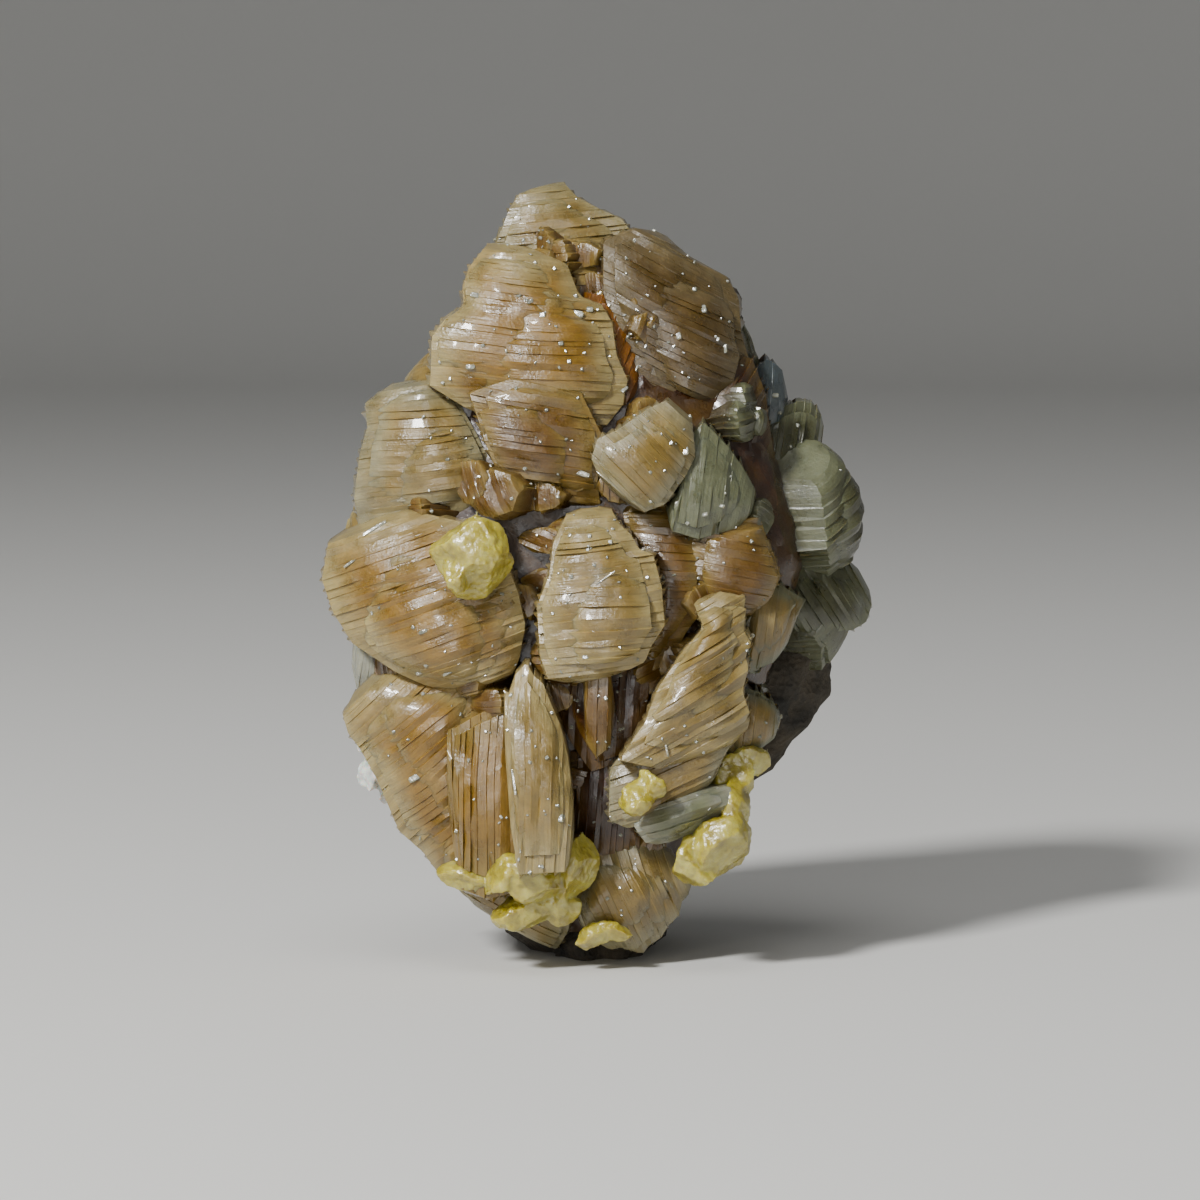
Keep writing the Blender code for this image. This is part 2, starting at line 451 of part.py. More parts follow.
def keep_largest(shape):
    # Only the biggest connected body stays: chips and closed pockets go.
    unseen = set(shape.verts)
    bodies = []
    while unseen:
        start = unseen.pop()
        body, front = {start}, [start]
        while front:
            vert = front.pop()
            for edge in vert.link_edges:
                other = edge.other_vert(vert)
                if other in unseen:
                    unseen.discard(other)
                    body.add(other)
                    front.append(other)
        bodies.append(body)
    bodies.sort(key=len, reverse=True)
    for body in bodies[1:]:
        bmesh.ops.delete(shape, geom=list(body), context="VERTS")


def fused(name, mesh_data, joined, cut, group, shelf):
    # One body from a base, a collection of shapes joined to it and one of shapes cut from it.
    base = make_object(name + "_base", mesh_data, shelf)
    hide_cutter(base)
    for operation, shapes in (("UNION", joined), ("DIFFERENCE", cut)):
        if shapes is not None and len(shapes.objects):
            step = base.modifiers.new(operation.lower(), "BOOLEAN")
            step.operation = operation
            step.operand_type = "COLLECTION"
            step.collection = shapes
            step.solver = "EXACT"
    item = make_object(name, baked(base, name), group)
    return item


def build_matrix(group, shelf):
    mesh_data = lump("matrix_rock", ROCK_SECTIONS, ROCK_SIDES, ROCK_ROUGHNESS)
    rock = make_object("matrix_rock", mesh_data, group)
    rock.data.materials.append(finish("matrix_rock", "matrix_rock"))
    return rock


def build_cluster(name, chunks, look, group, shelf, first_seed):
    # A cluster of blocky crystals joined in one body.
    shapes = new_collection(name + "_crystals")
    shelf.children.link(shapes)
    bpy.context.scene.collection.children.unlink(shapes)
    for index, (middle, half_sizes, turn) in enumerate(chunks[1:]):
        piece = crystal_chunk(name, middle, half_sizes, turn, first_seed + index + 1)
        hide_cutter(make_object(f"{name}_crystal_{index + 1}", piece, shapes))
    middle, half_sizes, turn = chunks[0]
    base = crystal_chunk(name, middle, half_sizes, turn, first_seed)
    cluster = fused(name, base, shapes, None, group, shelf)
    cluster.data.materials.append(finish(name, look))
    return cluster


def main():
    clear_scene()
    group = new_collection("barite_specimen")
    shelf = new_collection("cutters")
    growth = new_collection("crests")
    sockets = new_collection("sockets")
    build_matrix(group, shelf)
    rock_socket = lump("rock_socket", ROCK_SECTIONS, ROCK_SIDES, ROCK_ROUGHNESS, TOUCH_GAP)
    hide_cutter(make_object("rock_socket", rock_socket, sockets))

    seed = 100
    clusters = dict(SULPHUR)
    clusters["white_chip"] = WHITE_CHIP
    for name, chunks in clusters.items():
        look = "white_chip" if name == "white_chip" else "sulphur"
        build_cluster(name, chunks, look, group, shelf, seed)
        for index, (middle, half_sizes, turn) in enumerate(chunks):
            socket = crystal_chunk(name, middle, half_sizes, turn, seed + index, grow=TOUCH_GAP)
            hide_cutter(make_object(f"{name}_socket_{index}", socket, sockets))
        seed += 20

    rand = random.Random(7)
    for name, crest in CRESTS.items():
        maker = book_crest if crest["kind"] == "book" else leaf_crest
        hide_cutter(make_object("crest_" + name, maker(name, crest, rand), growth))
    crust = lump("crust", CRUST_SECTIONS, CRUST_SIDES)
    barite = fused("barite_crests", crust, growth, sockets, group, shelf)
    barite.data.materials.append(finish("barite_crests", "barite_crests"))


main()
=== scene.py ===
import json
import math
import random

import bpy
from mathutils import Matrix, Vector, noise

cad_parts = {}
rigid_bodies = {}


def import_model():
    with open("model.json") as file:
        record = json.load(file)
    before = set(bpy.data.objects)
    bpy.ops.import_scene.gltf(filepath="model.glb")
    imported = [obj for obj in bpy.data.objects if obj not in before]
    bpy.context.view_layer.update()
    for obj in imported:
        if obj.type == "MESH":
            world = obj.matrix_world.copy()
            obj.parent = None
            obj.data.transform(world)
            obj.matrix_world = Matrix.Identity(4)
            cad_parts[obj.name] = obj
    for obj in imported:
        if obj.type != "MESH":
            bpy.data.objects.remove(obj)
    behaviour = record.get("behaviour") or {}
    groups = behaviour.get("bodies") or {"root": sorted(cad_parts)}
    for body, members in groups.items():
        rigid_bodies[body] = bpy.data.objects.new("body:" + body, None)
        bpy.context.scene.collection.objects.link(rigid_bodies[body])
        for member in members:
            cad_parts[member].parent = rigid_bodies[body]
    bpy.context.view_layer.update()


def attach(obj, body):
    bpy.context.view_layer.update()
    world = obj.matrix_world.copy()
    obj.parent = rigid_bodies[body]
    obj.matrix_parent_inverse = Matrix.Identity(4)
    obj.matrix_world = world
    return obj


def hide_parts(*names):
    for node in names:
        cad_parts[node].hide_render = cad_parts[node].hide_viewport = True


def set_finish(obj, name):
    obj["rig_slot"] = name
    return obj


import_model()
mm = 0.001


# Colours and small helpers

def linearColour(code):
    # sRGB hex, as a colour picker shows it, to the linear values that shaders use
    values = [int(code[i:i + 2], 16) / 255 for i in (1, 3, 5)]
    return Vector([v / 12.92 if v <= 0.04045 else ((v + 0.055) / 1.055) ** 2.4 for v in values])


toning = dict(strength=1.22, depth=0.62, greyShares=(0.3, 0.6, 0.1))


def deepened(colour):
    # A listed tone comes out pale in the picture, so it is made stronger and darker
    grey = colour.dot(Vector(toning["greyShares"]))
    return Vector([max(0.0, grey + (v - grey) * toning["strength"]) * toning["depth"] for v in colour])


palette = {name: deepened(linearColour(code)) for name, code in dict(
    cream="#bfae80", greyCream="#a99d76", paleGrey="#aea686", frost="#b4b3a2", tan="#9d8653",
    tanGrey="#7f7050", honey="#9a793f", honeyBrown="#75572b", brownTan="#634f2c", amber="#8c5d1a",
    umber="#3d210a", sage="#7d8065", olive="#525237", slate="#5c6567").items()}


def mixed(a, b, share):
    return a + (b - a) * min(1.0, max(0.0, share))


def smooth(low, high, value):
    t = min(1.0, max(0.0, (value - low) / (high - low)))
    return t * t * (3 - 2 * t)


def noiseAt(a, b, seed):
    return noise.noise(Vector((a, b, seed)))


def deselectAll():
    if bpy.context.mode != "OBJECT":
        bpy.ops.object.mode_set(mode="OBJECT")
    bpy.ops.object.select_all(action="DESELECT")


# Bodies made of rings: a cylinder whose side is cut across, then shaped ring by ring

def ringBody(name, rings):
    # rings holds, from one end to the other, lists of (point, tint, grain) that go round the body
    pointCount, ringCount = len(rings[0]), len(rings)
    deselectAll()
    bpy.ops.mesh.primitive_cylinder_add(vertices=pointCount, radius=1, depth=2, end_fill_type="NGON")
    body = bpy.context.object
    body.name = body.data.name = name
    shape = body.data
    for face in shape.polygons:
        face.select = False
    for edge in shape.edges:
        ends = [shape.vertices[i].co.z for i in edge.vertices]
        edge.select = abs(ends[0] - ends[1]) > 1
    for vert in shape.vertices:
        vert.select = False
    bpy.context.tool_settings.mesh_select_mode = (False, True, False)
    bpy.ops.object.mode_set(mode="EDIT")
    bpy.ops.mesh.subdivide(number_cuts=ringCount - 2)
    bpy.ops.object.mode_set(mode="OBJECT")
    tints, grains = [], []
    for vert in shape.vertices:
        ring = rings[round((vert.co.z + 1) / 2 * (ringCount - 1))]
        turn = math.atan2(vert.co.y, vert.co.x) / (2 * math.pi) - 0.25      # its first point is at +Y
        point, colour, lines = ring[round(turn * pointCount) % pointCount]
        vert.co = point * mm
        tints.extend((*colour, 1.0))
        grains.extend(lines)
    shape.attributes.new("tint", "FLOAT_COLOR", "POINT").data.foreach_set("color", tints)
    shape.attributes.new("grain", "FLOAT_VECTOR", "POINT").data.foreach_set("vector", grains)
    return body


def joined(name, bodies):
    deselectAll()
    for body in bodies:
        body.select_set(True)
    bpy.context.view_layer.objects.active = bodies[0]
    if len(bodies) > 1:
        bpy.ops.object.join()
    bodies[0].name = bodies[0].data.name = name
    return bodies[0]


def finished(piece, material, slot, node):
    # Its material, its slot and the solid that it stands for; the specimen is one body
    piece.data.materials.clear()
    piece.data.materials.append(material)
    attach(piece, "root")
    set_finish(piece, slot)
    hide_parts(node)
    return piece


# Barite crests. The outline is what is seen from the front (x across, z up, millimetres). Growth lines
# run across it at `lines` degrees. front and rim are the depths of the most forward place and of the
# edge, slope how much deeper it gets across and up, and turn swings it round to a side, where the
# outline is what that side shows. tones are the colour at its edge and the colour inside. The pale edge
# colour is partly painted highlight on lit edges; the sage and olive of the right side and the umber
# inside crests set back are partly painted shade.
crestGroups = {
    "crestsTop": {
        "summit": dict(
            lines=7, front=-4.5, rim=0.5, slope=(0.1, 0.3), tones=("greyCream", "tan"),
            outline=[(-10.7, 71.0), (-9.2, 74.6), (-8.0, 76.4), (-3.7, 77.5), (-2.2, 76.0),
                     (0.0, 74.8), (2.5, 73.6), (4.0, 71.6), (4.2, 69.0), (2.5, 65.5), (-2.5, 64.7),
                     (-8.0, 66.5)]),
        "upperLeft": dict(
            lines=-4, front=-12.5, rim=-0.5, slope=(0.0, 0.16), tones=("cream", "honey"),
            outline=[(-17.1, 57.5), (-16.9, 62.2), (-15.7, 63.8), (-13.7, 65.2), (-13.8, 66.9),
                     (-13.1, 69.0), (-11.0, 71.5), (-7.2, 71.1), (-3.0, 69.3), (-1.7, 66.2),
                     (0.5, 65.4), (1.6, 63.5), (2.1, 60.3), (3.2, 58.0), (2.7, 55.6), (0.0, 52.5),
                     (-6.0, 53.0), (-13.0, 55.0)]),
        "amberBand": dict(
            lines=70, front=-8.8, rim=-4.0, slope=(0.2, 0.1), tones=("amber", "amber"),
            outline=[(-1.7, 66.6), (0.6, 66.4), (2.6, 64.1), (4.0, 61.2), (4.6, 57.7), (4.3, 55.0),
                     (2.5, 53.5), (0.5, 53.0), (-1.5, 55.7), (-2.5, 60.7)]),
        "upperRight": dict(
            lines=-28, front=-8.0, rim=1.5, slope=(0.35, 0.15), tones=("tanGrey", "brownTan"),
            outline=[(0.0, 71.8), (3.2, 72.9), (6.2, 72.4), (9.2, 69.7), (11.2, 68.9), (12.8, 67.9),
                     (14.1, 65.7), (14.3, 62.2), (15.1, 59.9), (14.0, 55.8), (11.5, 52.8), (8.0, 53.0),
                     (4.5, 54.5), (2.5, 58.7), (1.2, 62.7), (0.0, 66.7)]),
        # Its umber inside is partly deeper amber, partly painted shade behind the crests in front
        "behindPlate": dict(
            lines=60, front=-6.5, rim=1.0, slope=(0.45, 0.0), tones=("brownTan", "umber"),
            outline=[(12.5, 61.0), (15.2, 60.1), (16.6, 56.7), (17.1, 52.7), (17.6, 48.7),
                     (16.0, 45.0), (12.5, 44.0), (10.0, 48.0), (9.5, 53.2), (11.0, 57.7)]),
        "blueLeaf": dict(
            front=-1.0, rim=4.0, slope=(0.5, 0.1), tones=("slate", "slate"),
            outline=[(14.0, 55.9), (15.1, 58.5), (16.6, 60.0), (18.1, 59.0), (18.9, 55.7),
                     (18.0, 53.5), (14.8, 52.5)]),
    },
    "crestsLeft": {
        "middleShelf": dict(
            lines=-8, front=-14.0, rim=-8.0, slope=(0.0, -0.1), tones=("tan", "honeyBrown"),
            outline=[(-13.0, 57.0), (-8.0, 58.5), (-2.0, 57.5), (0.5, 52.7), (0.0, 48.0), (0.3, 45.7),
                     (-3.0, 45.7), (-7.0, 46.2), (-9.5, 46.7), (-10.3, 49.2), (-11.5, 52.2)]),
        "leftShelf": dict(
            lines=7, front=-10.5, rim=-0.5, slope=(-0.2, 0.15), tones=("paleGrey", "tan"),
            outline=[(-20.3, 57.6), (-15.5, 57.9), (-13.6, 55.7), (-11.8, 52.7), (-10.2, 49.5),
                     (-9.8, 47.0), (-13.0, 44.5), (-18.0, 43.5), (-24.0, 43.0), (-24.6, 46.2),
                     (-24.0, 50.7), (-23.2, 53.2), (-23.4, 55.6)]),
        "leftFan": dict(
            lines=21, front=-16.5, rim=-2.0, slope=(-0.25, 0.0), tones=("cream", "honey"),
            outline=[(-27.7, 38.3), (-26.9, 42.0), (-24.3, 43.5), (-19.7, 45.6), (-15.1, 44.8),
                     (-9.6, 43.9), (-8.7, 40.8), (-7.5, 37.6), (-6.9, 34.5), (-7.6, 31.2),
                     (-8.7, 28.6), (-12.5, 27.7), (-17.0, 28.0), (-20.4, 29.4), (-24.6, 32.0),
                     (-26.6, 35.1)]),
        "greyBlade": dict(
            front=-2.5, rim=1.0, slope=(-0.4, 0.0), tones=("frost", "frost"),
            outline=[(-24.7, 32.5), (-22.5, 33.0), (-18.5, 30.0), (-18.5, 26.0), (-22.6, 25.5),
                     (-24.4, 26.7), (-24.9, 29.2)]),
    },
    "crestsLowerLeft": {
        "lowerLeft": dict(
            lines=40, front=-13.0, rim=-1.5, slope=(-0.15, -0.1), tones=("cream", "honey"),
            outline=[(-24.1, 27.5), (-25.5, 24.9), (-25.0, 23.0), (-23.8, 21.4), (-22.0, 18.0),
                     (-21.0, 15.7), (-20.0, 13.3), (-17.6, 11.3), (-15.6, 8.5), (-12.5, 8.0),
                     (-11.5, 15.7), (-11.0, 22.0), (-11.0, 28.5), (-15.0, 29.5), (-19.5, 29.5),
                     (-22.5, 28.7)]),
        "lowerMiddle": dict(
            lines=88, front=-15.5, rim=-9.0, slope=(0.0, 0.0), tones=("tan", "honey"),
            outline=[(-15.2, 24.0), (-12.0, 26.0), (-9.0, 27.4), (-7.6, 25.7), (-6.6, 19.7),
                     (-6.2, 13.7), (-6.5, 8.0), (-11.0, 7.0), (-13.8, 8.0), (-14.5, 13.7),
                     (-15.3, 19.7)]),
        "spear": dict(
            lines=86, front=-18.6, rim=-13.0, slope=(0.0, 0.12), tones=("cream", "tan"),
            outline=[(-7.1, 31.3), (-6.4, 30.1), (-5.5, 29.3), (-4.8, 27.5), (-3.7, 25.0),
                     (-3.0, 21.7), (-2.5, 17.2), (-2.5, 14.0), (-3.2, 10.5), (-8.0, 10.0),
                     (-8.8, 15.7), (-9.2, 21.7), (-9.4, 28.2), (-8.8, 28.0), (-8.4, 29.7),
                     (-7.7, 30.5)]),
        "footLeft": dict(
            lines=-30, front=-9.5, rim=-2.0, slope=(-0.1, -0.2), tones=("paleGrey", "tan"),
            outline=[(-15.6, 9.0), (-12.5, 11.5), (-8.0, 12.0), (-4.0, 11.0), (-2.4, 7.0), (-2.8, 3.2),
                     (-3.6, 1.8), (-4.5, 0.9), (-5.6, 2.0), (-8.2, 2.9), (-11.2, 5.0), (-13.6, 6.6)]),
    },
    "crestsCentre": {
        "centreComb": dict(
            lines=4, front=-19.0, rim=-12.0, slope=(0.0, 0.12), tones=("cream", "tan"),
            outline=[(-3.4, 45.1), (-1.0, 45.9), (1.2, 45.7), (2.1, 44.2), (3.2, 43.3), (4.0, 41.9),
                     (5.4, 41.4), (5.8, 40.0), (6.3, 38.2), (6.4, 36.5), (6.6, 34.7), (5.2, 32.5),
                     (4.6, 31.0), (2.0, 29.8), (-1.5, 28.7), (-5.2, 29.2), (-6.1, 31.7), (-6.4, 36.2),
                     (-5.2, 39.2), (-4.7, 42.5)]),
        # Its umber inside is partly deeper amber, partly painted shade under the comb
        "underComb": dict(
            lines=84, front=-13.5, rim=-8.5, slope=(0.0, 0.0), tones=("honeyBrown", "umber"),
            outline=[(-5.2, 31.2), (-1.5, 31.5), (4.0, 32.0), (5.6, 29.7), (5.0, 26.2), (4.0, 23.2),
                     (2.0, 20.5), (-1.0, 19.5), (-3.0, 22.7), (-4.7, 26.7)]),
        "smallColumn": dict(
            lines=88, front=-16.0, rim=-12.0, slope=(0.0, -0.1), tones=("tan", "honeyBrown"),
            outline=[(-1.7, 30.0), (1.0, 30.5), (1.5, 26.0), (1.1, 22.5), (-0.3, 21.3), (-1.4, 23.0)]),
        "paleTongue": dict(
            lines=-42, front=-16.5, rim=-10.5, slope=(0.2, 0.1), tones=("paleGrey", "tan"),
            outline=[(-1.0, 50.8), (-0.4, 52.7), (1.5, 53.5), (4.5, 55.5), (6.8, 56.4), (9.0, 54.4),
                     (9.4, 50.7), (8.4, 48.7), (6.5, 46.0), (4.2, 45.2), (1.8, 46.7), (0.0, 48.5)]),
        "innerRight": dict(
            lines=-4, front=-13.0, rim=-7.0, slope=(0.0, 0.1), tones=("tan", "honeyBrown"),
            outline=[(2.0, 46.2), (6.5, 46.9), (10.0, 44.0), (10.6, 39.7), (10.2, 35.7), (8.6, 33.5),
                     (7.0, 30.7), (5.2, 28.2), (3.0, 30.7), (3.5, 35.7), (2.5, 41.2)]),
        # Its umber inside is partly deeper amber, partly painted shade in the recess
        "recessColumns": dict(
            lines=88, front=-11.5, rim=-6.5, slope=(0.0, -0.1), tones=("honeyBrown", "umber"),
            outline=[(-3.5, 21.7), (1.0, 22.5), (2.7, 19.7), (3.6, 15.7), (4.3, 11.0), (0.0, 9.5),
                     (-3.5, 10.5)]),
    },
    # Sage and olive tones on this side are partly the crystals' greyer tone, partly painted shade away
    # from the key lamp
    "crestsRight": {
        "roundPlate": dict(
            front=-13.5, rim=-8.0, slope=(0.35, 0.1), tones=("sage", "sage"),
            outline=[(8.8, 52.8), (10.2, 54.3), (12.5, 51.8), (14.1, 49.5), (15.4, 47.0), (15.1, 45.2),
                     (13.4, 43.5), (9.5, 42.4), (7.0, 43.2), (6.4, 45.6), (7.8, 47.7)]),
        "rightComb": dict(
            lines=-12, front=-12.5, rim=-5.0, slope=(0.25, 0.0), tones=("tan", "honeyBrown"),
            outline=[(9.0, 43.5), (11.6, 44.6), (14.0, 44.6), (15.7, 45.0), (16.4, 42.7), (17.3, 40.7),
                     (17.9, 38.7), (17.0, 36.7), (15.2, 34.9), (12.0, 34.5), (9.4, 35.5), (8.4, 39.5)]),
        "toothPlate": dict(
            front=-9.5, rim=-3.0, slope=(0.45, 0.0), tones=("sage", "tan"),
            outline=[(14.6, 36.0), (15.5, 38.0), (16.8, 38.5), (18.2, 37.8), (20.5, 36.0),
                     (19.3, 34.4), (19.0, 32.4), (17.3, 30.0), (14.5, 29.0), (13.4, 32.9)]),
        "rightFan": dict(
            lines=30, front=-17.5, rim=-11.0, slope=(0.25, 0.1), tones=("cream", "tan"),
            outline=[(1.6, 21.4), (4.2, 24.9), (5.3, 28.2), (7.7, 31.7), (9.9, 34.0), (9.0, 36.6),
                     (11.6, 37.6), (14.3, 37.1), (14.0, 34.6), (15.1, 32.9), (14.3, 31.5),
                     (14.7, 30.2), (14.0, 27.5), (14.8, 24.7), (13.0, 22.5), (9.5, 21.5), (5.5, 20.5)]),
        "lobedPlate": dict(
            front=-11.5, rim=-5.0, slope=(0.4, 0.0), tones=("sage", "tan"),
            outline=[(13.0, 28.5), (15.7, 27.5), (17.2, 26.3), (18.0, 24.5), (17.5, 22.8),
                     (15.9, 21.6), (13.0, 20.5), (10.5, 22.5), (11.0, 26.7)]),
        "flankDiscUpper": dict(
            front=0.5, rim=5.0, slope=(0.55, 0.05), tones=("sage", "olive"),
            outline=[(18.6, 55.3), (20.0, 55.7), (21.4, 55.4), (22.2, 54.4), (22.6, 52.8),
                     (22.4, 51.1), (21.7, 49.6), (20.6, 48.2), (18.5, 46.8), (15.6, 48.1),
                     (14.8, 51.4), (15.9, 54.1)]),
        "flankDiscMiddle": dict(
            front=0.5, rim=6.0, slope=(0.55, 0.0), tones=("sage", "olive"),
            outline=[(19.0, 46.6), (20.8, 46.9), (22.6, 45.9), (23.8, 44.6), (24.0, 43.2),
                     (23.4, 41.8), (22.4, 40.2), (20.6, 39.0), (18.0, 39.6), (16.8, 42.0),
                     (17.2, 45.0)]),
        "flankDiscLower": dict(
            lines=-62, front=-0.5, rim=7.0, slope=(0.5, 0.0), tones=("sage", "olive"),
            outline=[(22.0, 40.4), (24.9, 39.5), (26.4, 38.1), (27.3, 36.3), (27.5, 34.8),
                     (26.9, 33.0), (25.6, 32.3), (22.8, 32.0), (20.0, 32.0), (18.2, 33.3),
                     (17.3, 36.3), (18.7, 39.5)]),
    },
    "crestsLowerRight": {
        "lowerRight": dict(
            lines=22, front=-16.0, rim=-9.0, slope=(0.1, 0.0), tones=("paleGrey", "tan"),
            outline=[(0.6, 20.2), (2.5, 22.4), (6.4, 23.5), (11.0, 24.5), (13.2, 24.5), (13.3, 23.2),
                     (12.2, 21.2), (11.4, 19.3), (9.4, 17.3), (6.8, 15.7), (3.2, 14.2), (0.6, 15.2)]),
        "brightLedge": dict(
            lines=14, front=-16.5, rim=-8.5, slope=(0.1, -0.1), tones=("frost", "sage"),
            outline=[(2.9, 14.9), (4.5, 17.0), (6.8, 17.9), (10.0, 18.5), (12.9, 18.7), (13.3, 17.2),
                     (11.3, 15.3), (9.0, 13.6), (6.5, 12.6), (4.3, 13.0)]),
        "footRight": dict(
            lines=-68, front=-11.5, rim=-1.5, slope=(0.15, -0.1), tones=("paleGrey", "tan"),
            outline=[(-2.8, 7.0), (-0.8, 12.2), (3.3, 12.9), (6.0, 12.0), (9.1, 9.6), (9.1, 7.4),
                     (8.2, 6.2), (7.9, 4.8), (6.8, 3.7), (6.2, 2.6), (4.9, 1.7), (4.4, 0.9),
                     (3.3, 1.2), (2.1, 1.6), (1.0, 1.4), (-0.8, 2.6), (-2.2, 4.0)]),
    },
    "crestsSides": {
        "leftSideUpper": dict(
            lines=15, front=-19.0, rim=-11.5, slope=(0.3, 0.3), turn=-72, tones=("cream", "tan"),
            outline=[(-12.0, 50.0), (-10.5, 58.0), (-5.5, 64.0), (0.0, 62.5), (3.0, 55.5), (1.0, 48.5),
                     (-5.0, 45.5)]),
        "leftSideMiddle": dict(
            lines=-35, front=-25.5, rim=-16.0, slope=(0.25, 0.0), turn=-72, tones=("cream", "tan"),
            outline=[(-11.0, 40.0), (-7.0, 46.5), (-1.0, 47.0), (3.5, 41.5), (2.0, 34.0), (-4.0, 31.0),
                     (-9.5, 33.5)]),
        "leftSideLower": dict(
            front=-22.5, rim=-14.0, slope=(0.25, -0.2), turn=-72, tones=("cream", "tan"),
            outline=[(-9.5, 23.0), (-6.5, 29.0), (-1.0, 30.0), (3.0, 25.0), (2.5, 17.5), (-3.0, 13.5),
                     (-8.0, 16.5)]),
        # Right sides take sage and olive, partly painted shade of this side; the left sides are cream
        "rightSideUpper": dict(
            front=-15.0, rim=-8.0, slope=(-0.1, 0.25), turn=74, tones=("sage", "olive"),
            outline=[(-2.0, 58.0), (0.5, 64.5), (5.5, 66.5), (9.0, 61.0), (8.0, 54.0), (3.0, 51.5)]),
        "rightSideMiddle": dict(
            lines=35, front=-25.0, rim=-14.0, slope=(0.1, 0.0), turn=74, tones=("sage", "olive"),
            outline=[(2.0, 41.0), (2.5, 48.0), (7.0, 52.0), (11.5, 48.0), (12.0, 41.5), (8.0, 37.0)]),
        "rightSideLower": dict(
            front=-23.5, rim=-15.0, slope=(0.1, -0.15), turn=74, tones=("sage", "olive"),
            outline=[(5.5, 32.0), (6.0, 37.5), (10.0, 40.0), (14.0, 36.5), (13.5, 30.5), (9.5, 28.0)]),
    },
}

crestForm = dict(
    rootDepth=9.0,       # how far a crest goes on behind its rim
    rootPull=0.5,        # share of the way that a root is drawn to its seat
    rootInward=0.5,      # a seat's place across and up, as shares of the crest's own
    rootLevel=0.8,
    waist=38.0,          # height that the roots are drawn towards
    rootUmberAndShade=0.75,      # share of umber in a root's colour: deeper amber of thick crystal and painted shade
    rootToneAndSideShade=0.75,      # share of the root's colour low on the sides: painted shade between crests, with deeper amber
    edge=0.88,           # share of the width and height where the face ends
    faceReach=0.95,      # share of the width that the face's points span
    bulge=0.2,           # how much further back the face lies near its edge
    bulgePower=2.2,
    pointStep=0.45,      # spacing of points along a page
    fewestPoints=8,
    # Points up a slab's side, from its root to its face: share of the half-width,
    # of the rise, of the way to the root
    side=[(0.5, 0.0, 1.0), (0.85, 0.0, 0.5), (1.0, 0.0, 0.0), (1.0, 0.4, 0.0), (0.99, 0.72, 0.0)],
    fullRelief=2.0,      # half-width above which the relief has its full height
    paleFrom=0.45,       # share of the way out where the pale edge colour begins: thin edge and painted highlight on lit edges
    patch=0.35, patchGrain=0.22, patchSeed=5.0)

pageForm = dict(
    width=0.8,           # one page's edge
    fewest=3,
    unevenness=(0.55, 1.45),
    margin=0.01,         # share of the slab's height that is left free at each end
    phases=(0.04, 0.5, 0.94),
    step=(0.05, 0.26),   # height of the step from one page to the next
    darkSteps=0.62,      # share of the steps that face down
    fade=(0.6, 1.3), fadeGrain=(0.32, 1.7),      # steps fade out in places
    block=0.16, blockGrain=(0.5, 0.53), blockSteps=5,
    swell=0.5, swellGrain=0.16,
    wave=0.3, waveGrain=(0.13, 0.12), swellSeed=3.0,
    tooth=(0.15, 0.85),  # how far a page's end stands out of the outline
    toothSizes=(1, 1, 0.4),
    toothMiddle=0.62,    # place in a page where its end meets the outline
    ragged=0.3, raggedGrain=0.9)

layerForm = dict(
    seed=900, seedStep=50,
    extraFrom=(6, 11),   # widths from which a crest has a second and a third slab
    shrink=0.17, shift=0.055,
    rise=0.8,            # how much further forward each slab stands than the one behind it
    lineSwing=4,         # degrees
    plateLines=80)       # direction of the lines on crests that show a plate's face


def seated(point, crest, middle):
    # Draw the root in, lean the crest as its slope says, then swing it round the upright axis
    form = crestForm
    x, y, z = point
    rooted = form["rootPull"] * max(0.0, (y - crest["rim"]) / form["rootDepth"])
    x += rooted * (middle.x * form["rootInward"] - x)
    z += rooted * (form["waist"] + (middle.y - form["waist"]) * form["rootLevel"] - z)
    y += crest["slope"][0] * (x - middle.x) + crest["slope"][1] * (z - middle.y)
    return Matrix.Rotation(math.radians(crest.get("turn", 0)), 3, "Z") @ Vector((x, y, z))


def chordAt(outline, uAxis, vAxis, v):
    # Where a line across the outline enters and leaves it
    hits = []
    flat = [(p.dot(uAxis), p.dot(vAxis)) for p in outline]
    for (u0, v0), (u1, v1) in zip(flat, flat[1:] + flat[:1]):
        if (v0 - v) * (v1 - v) < 0:
            hits.append(u0 + (u1 - u0) * (v - v0) / (v1 - v0))
    return min(hits), max(hits)


def blocky(a, b, seed, steps):
    # Noise in flat steps, for the square ends of tabular crystals
    return round(noiseAt(a, b, seed) * steps) / steps


def pageStations(low, high, rand):
    # Rings across a slab: (place, share of the page that is behind it, number of the page, its step)
    form = pageForm
    count = max(form["fewest"], round((high - low) / form["width"]))
    widths = [rand.uniform(*form["unevenness"]) for _ in range(count)]
    total = sum(widths)
    margin = form["margin"] * (high - low)
    stations, start = [(low + margin, 0.0, 0, 0.0)], low
    for number, width in enumerate(widths, 1):
        width *= (high - low) / total
        step = rand.uniform(*form["step"]) * (-1 if rand.random() < form["darkSteps"] else 1)
        for phase in form["phases"]:
            stations.append((start + phase * width, phase, number, step))
        start += width
    stations[-1] = (high - margin, form["phases"][-1], count, 0.0)
    return stations


def slabProfile(faceCount):
    # Points round a ring: (share of the half-width, share of the rise, share of the way to the root)
    side, reach = crestForm["side"], crestForm["faceReach"]
    face = [-reach + 2 * reach * i / (faceCount - 1) for i in range(faceCount)]
    return ([(-a, b, c) for a, b, c in side] + [(a, 1.0, 0.0) for a in face]
            + [(a, b, c) for a, b, c in reversed(side)])


def crownAt(along):
    # How far the face rises at a share of the way from the slab's middle to its end
    form = crestForm
    crown = 1 - form["bulge"] * abs(along) ** form["bulgePower"]
    past = (abs(along) - form["edge"]) / (1 - form["edge"])
    return crown * math.sqrt(max(0.0, 1 - past * past)) if past > 0 else crown


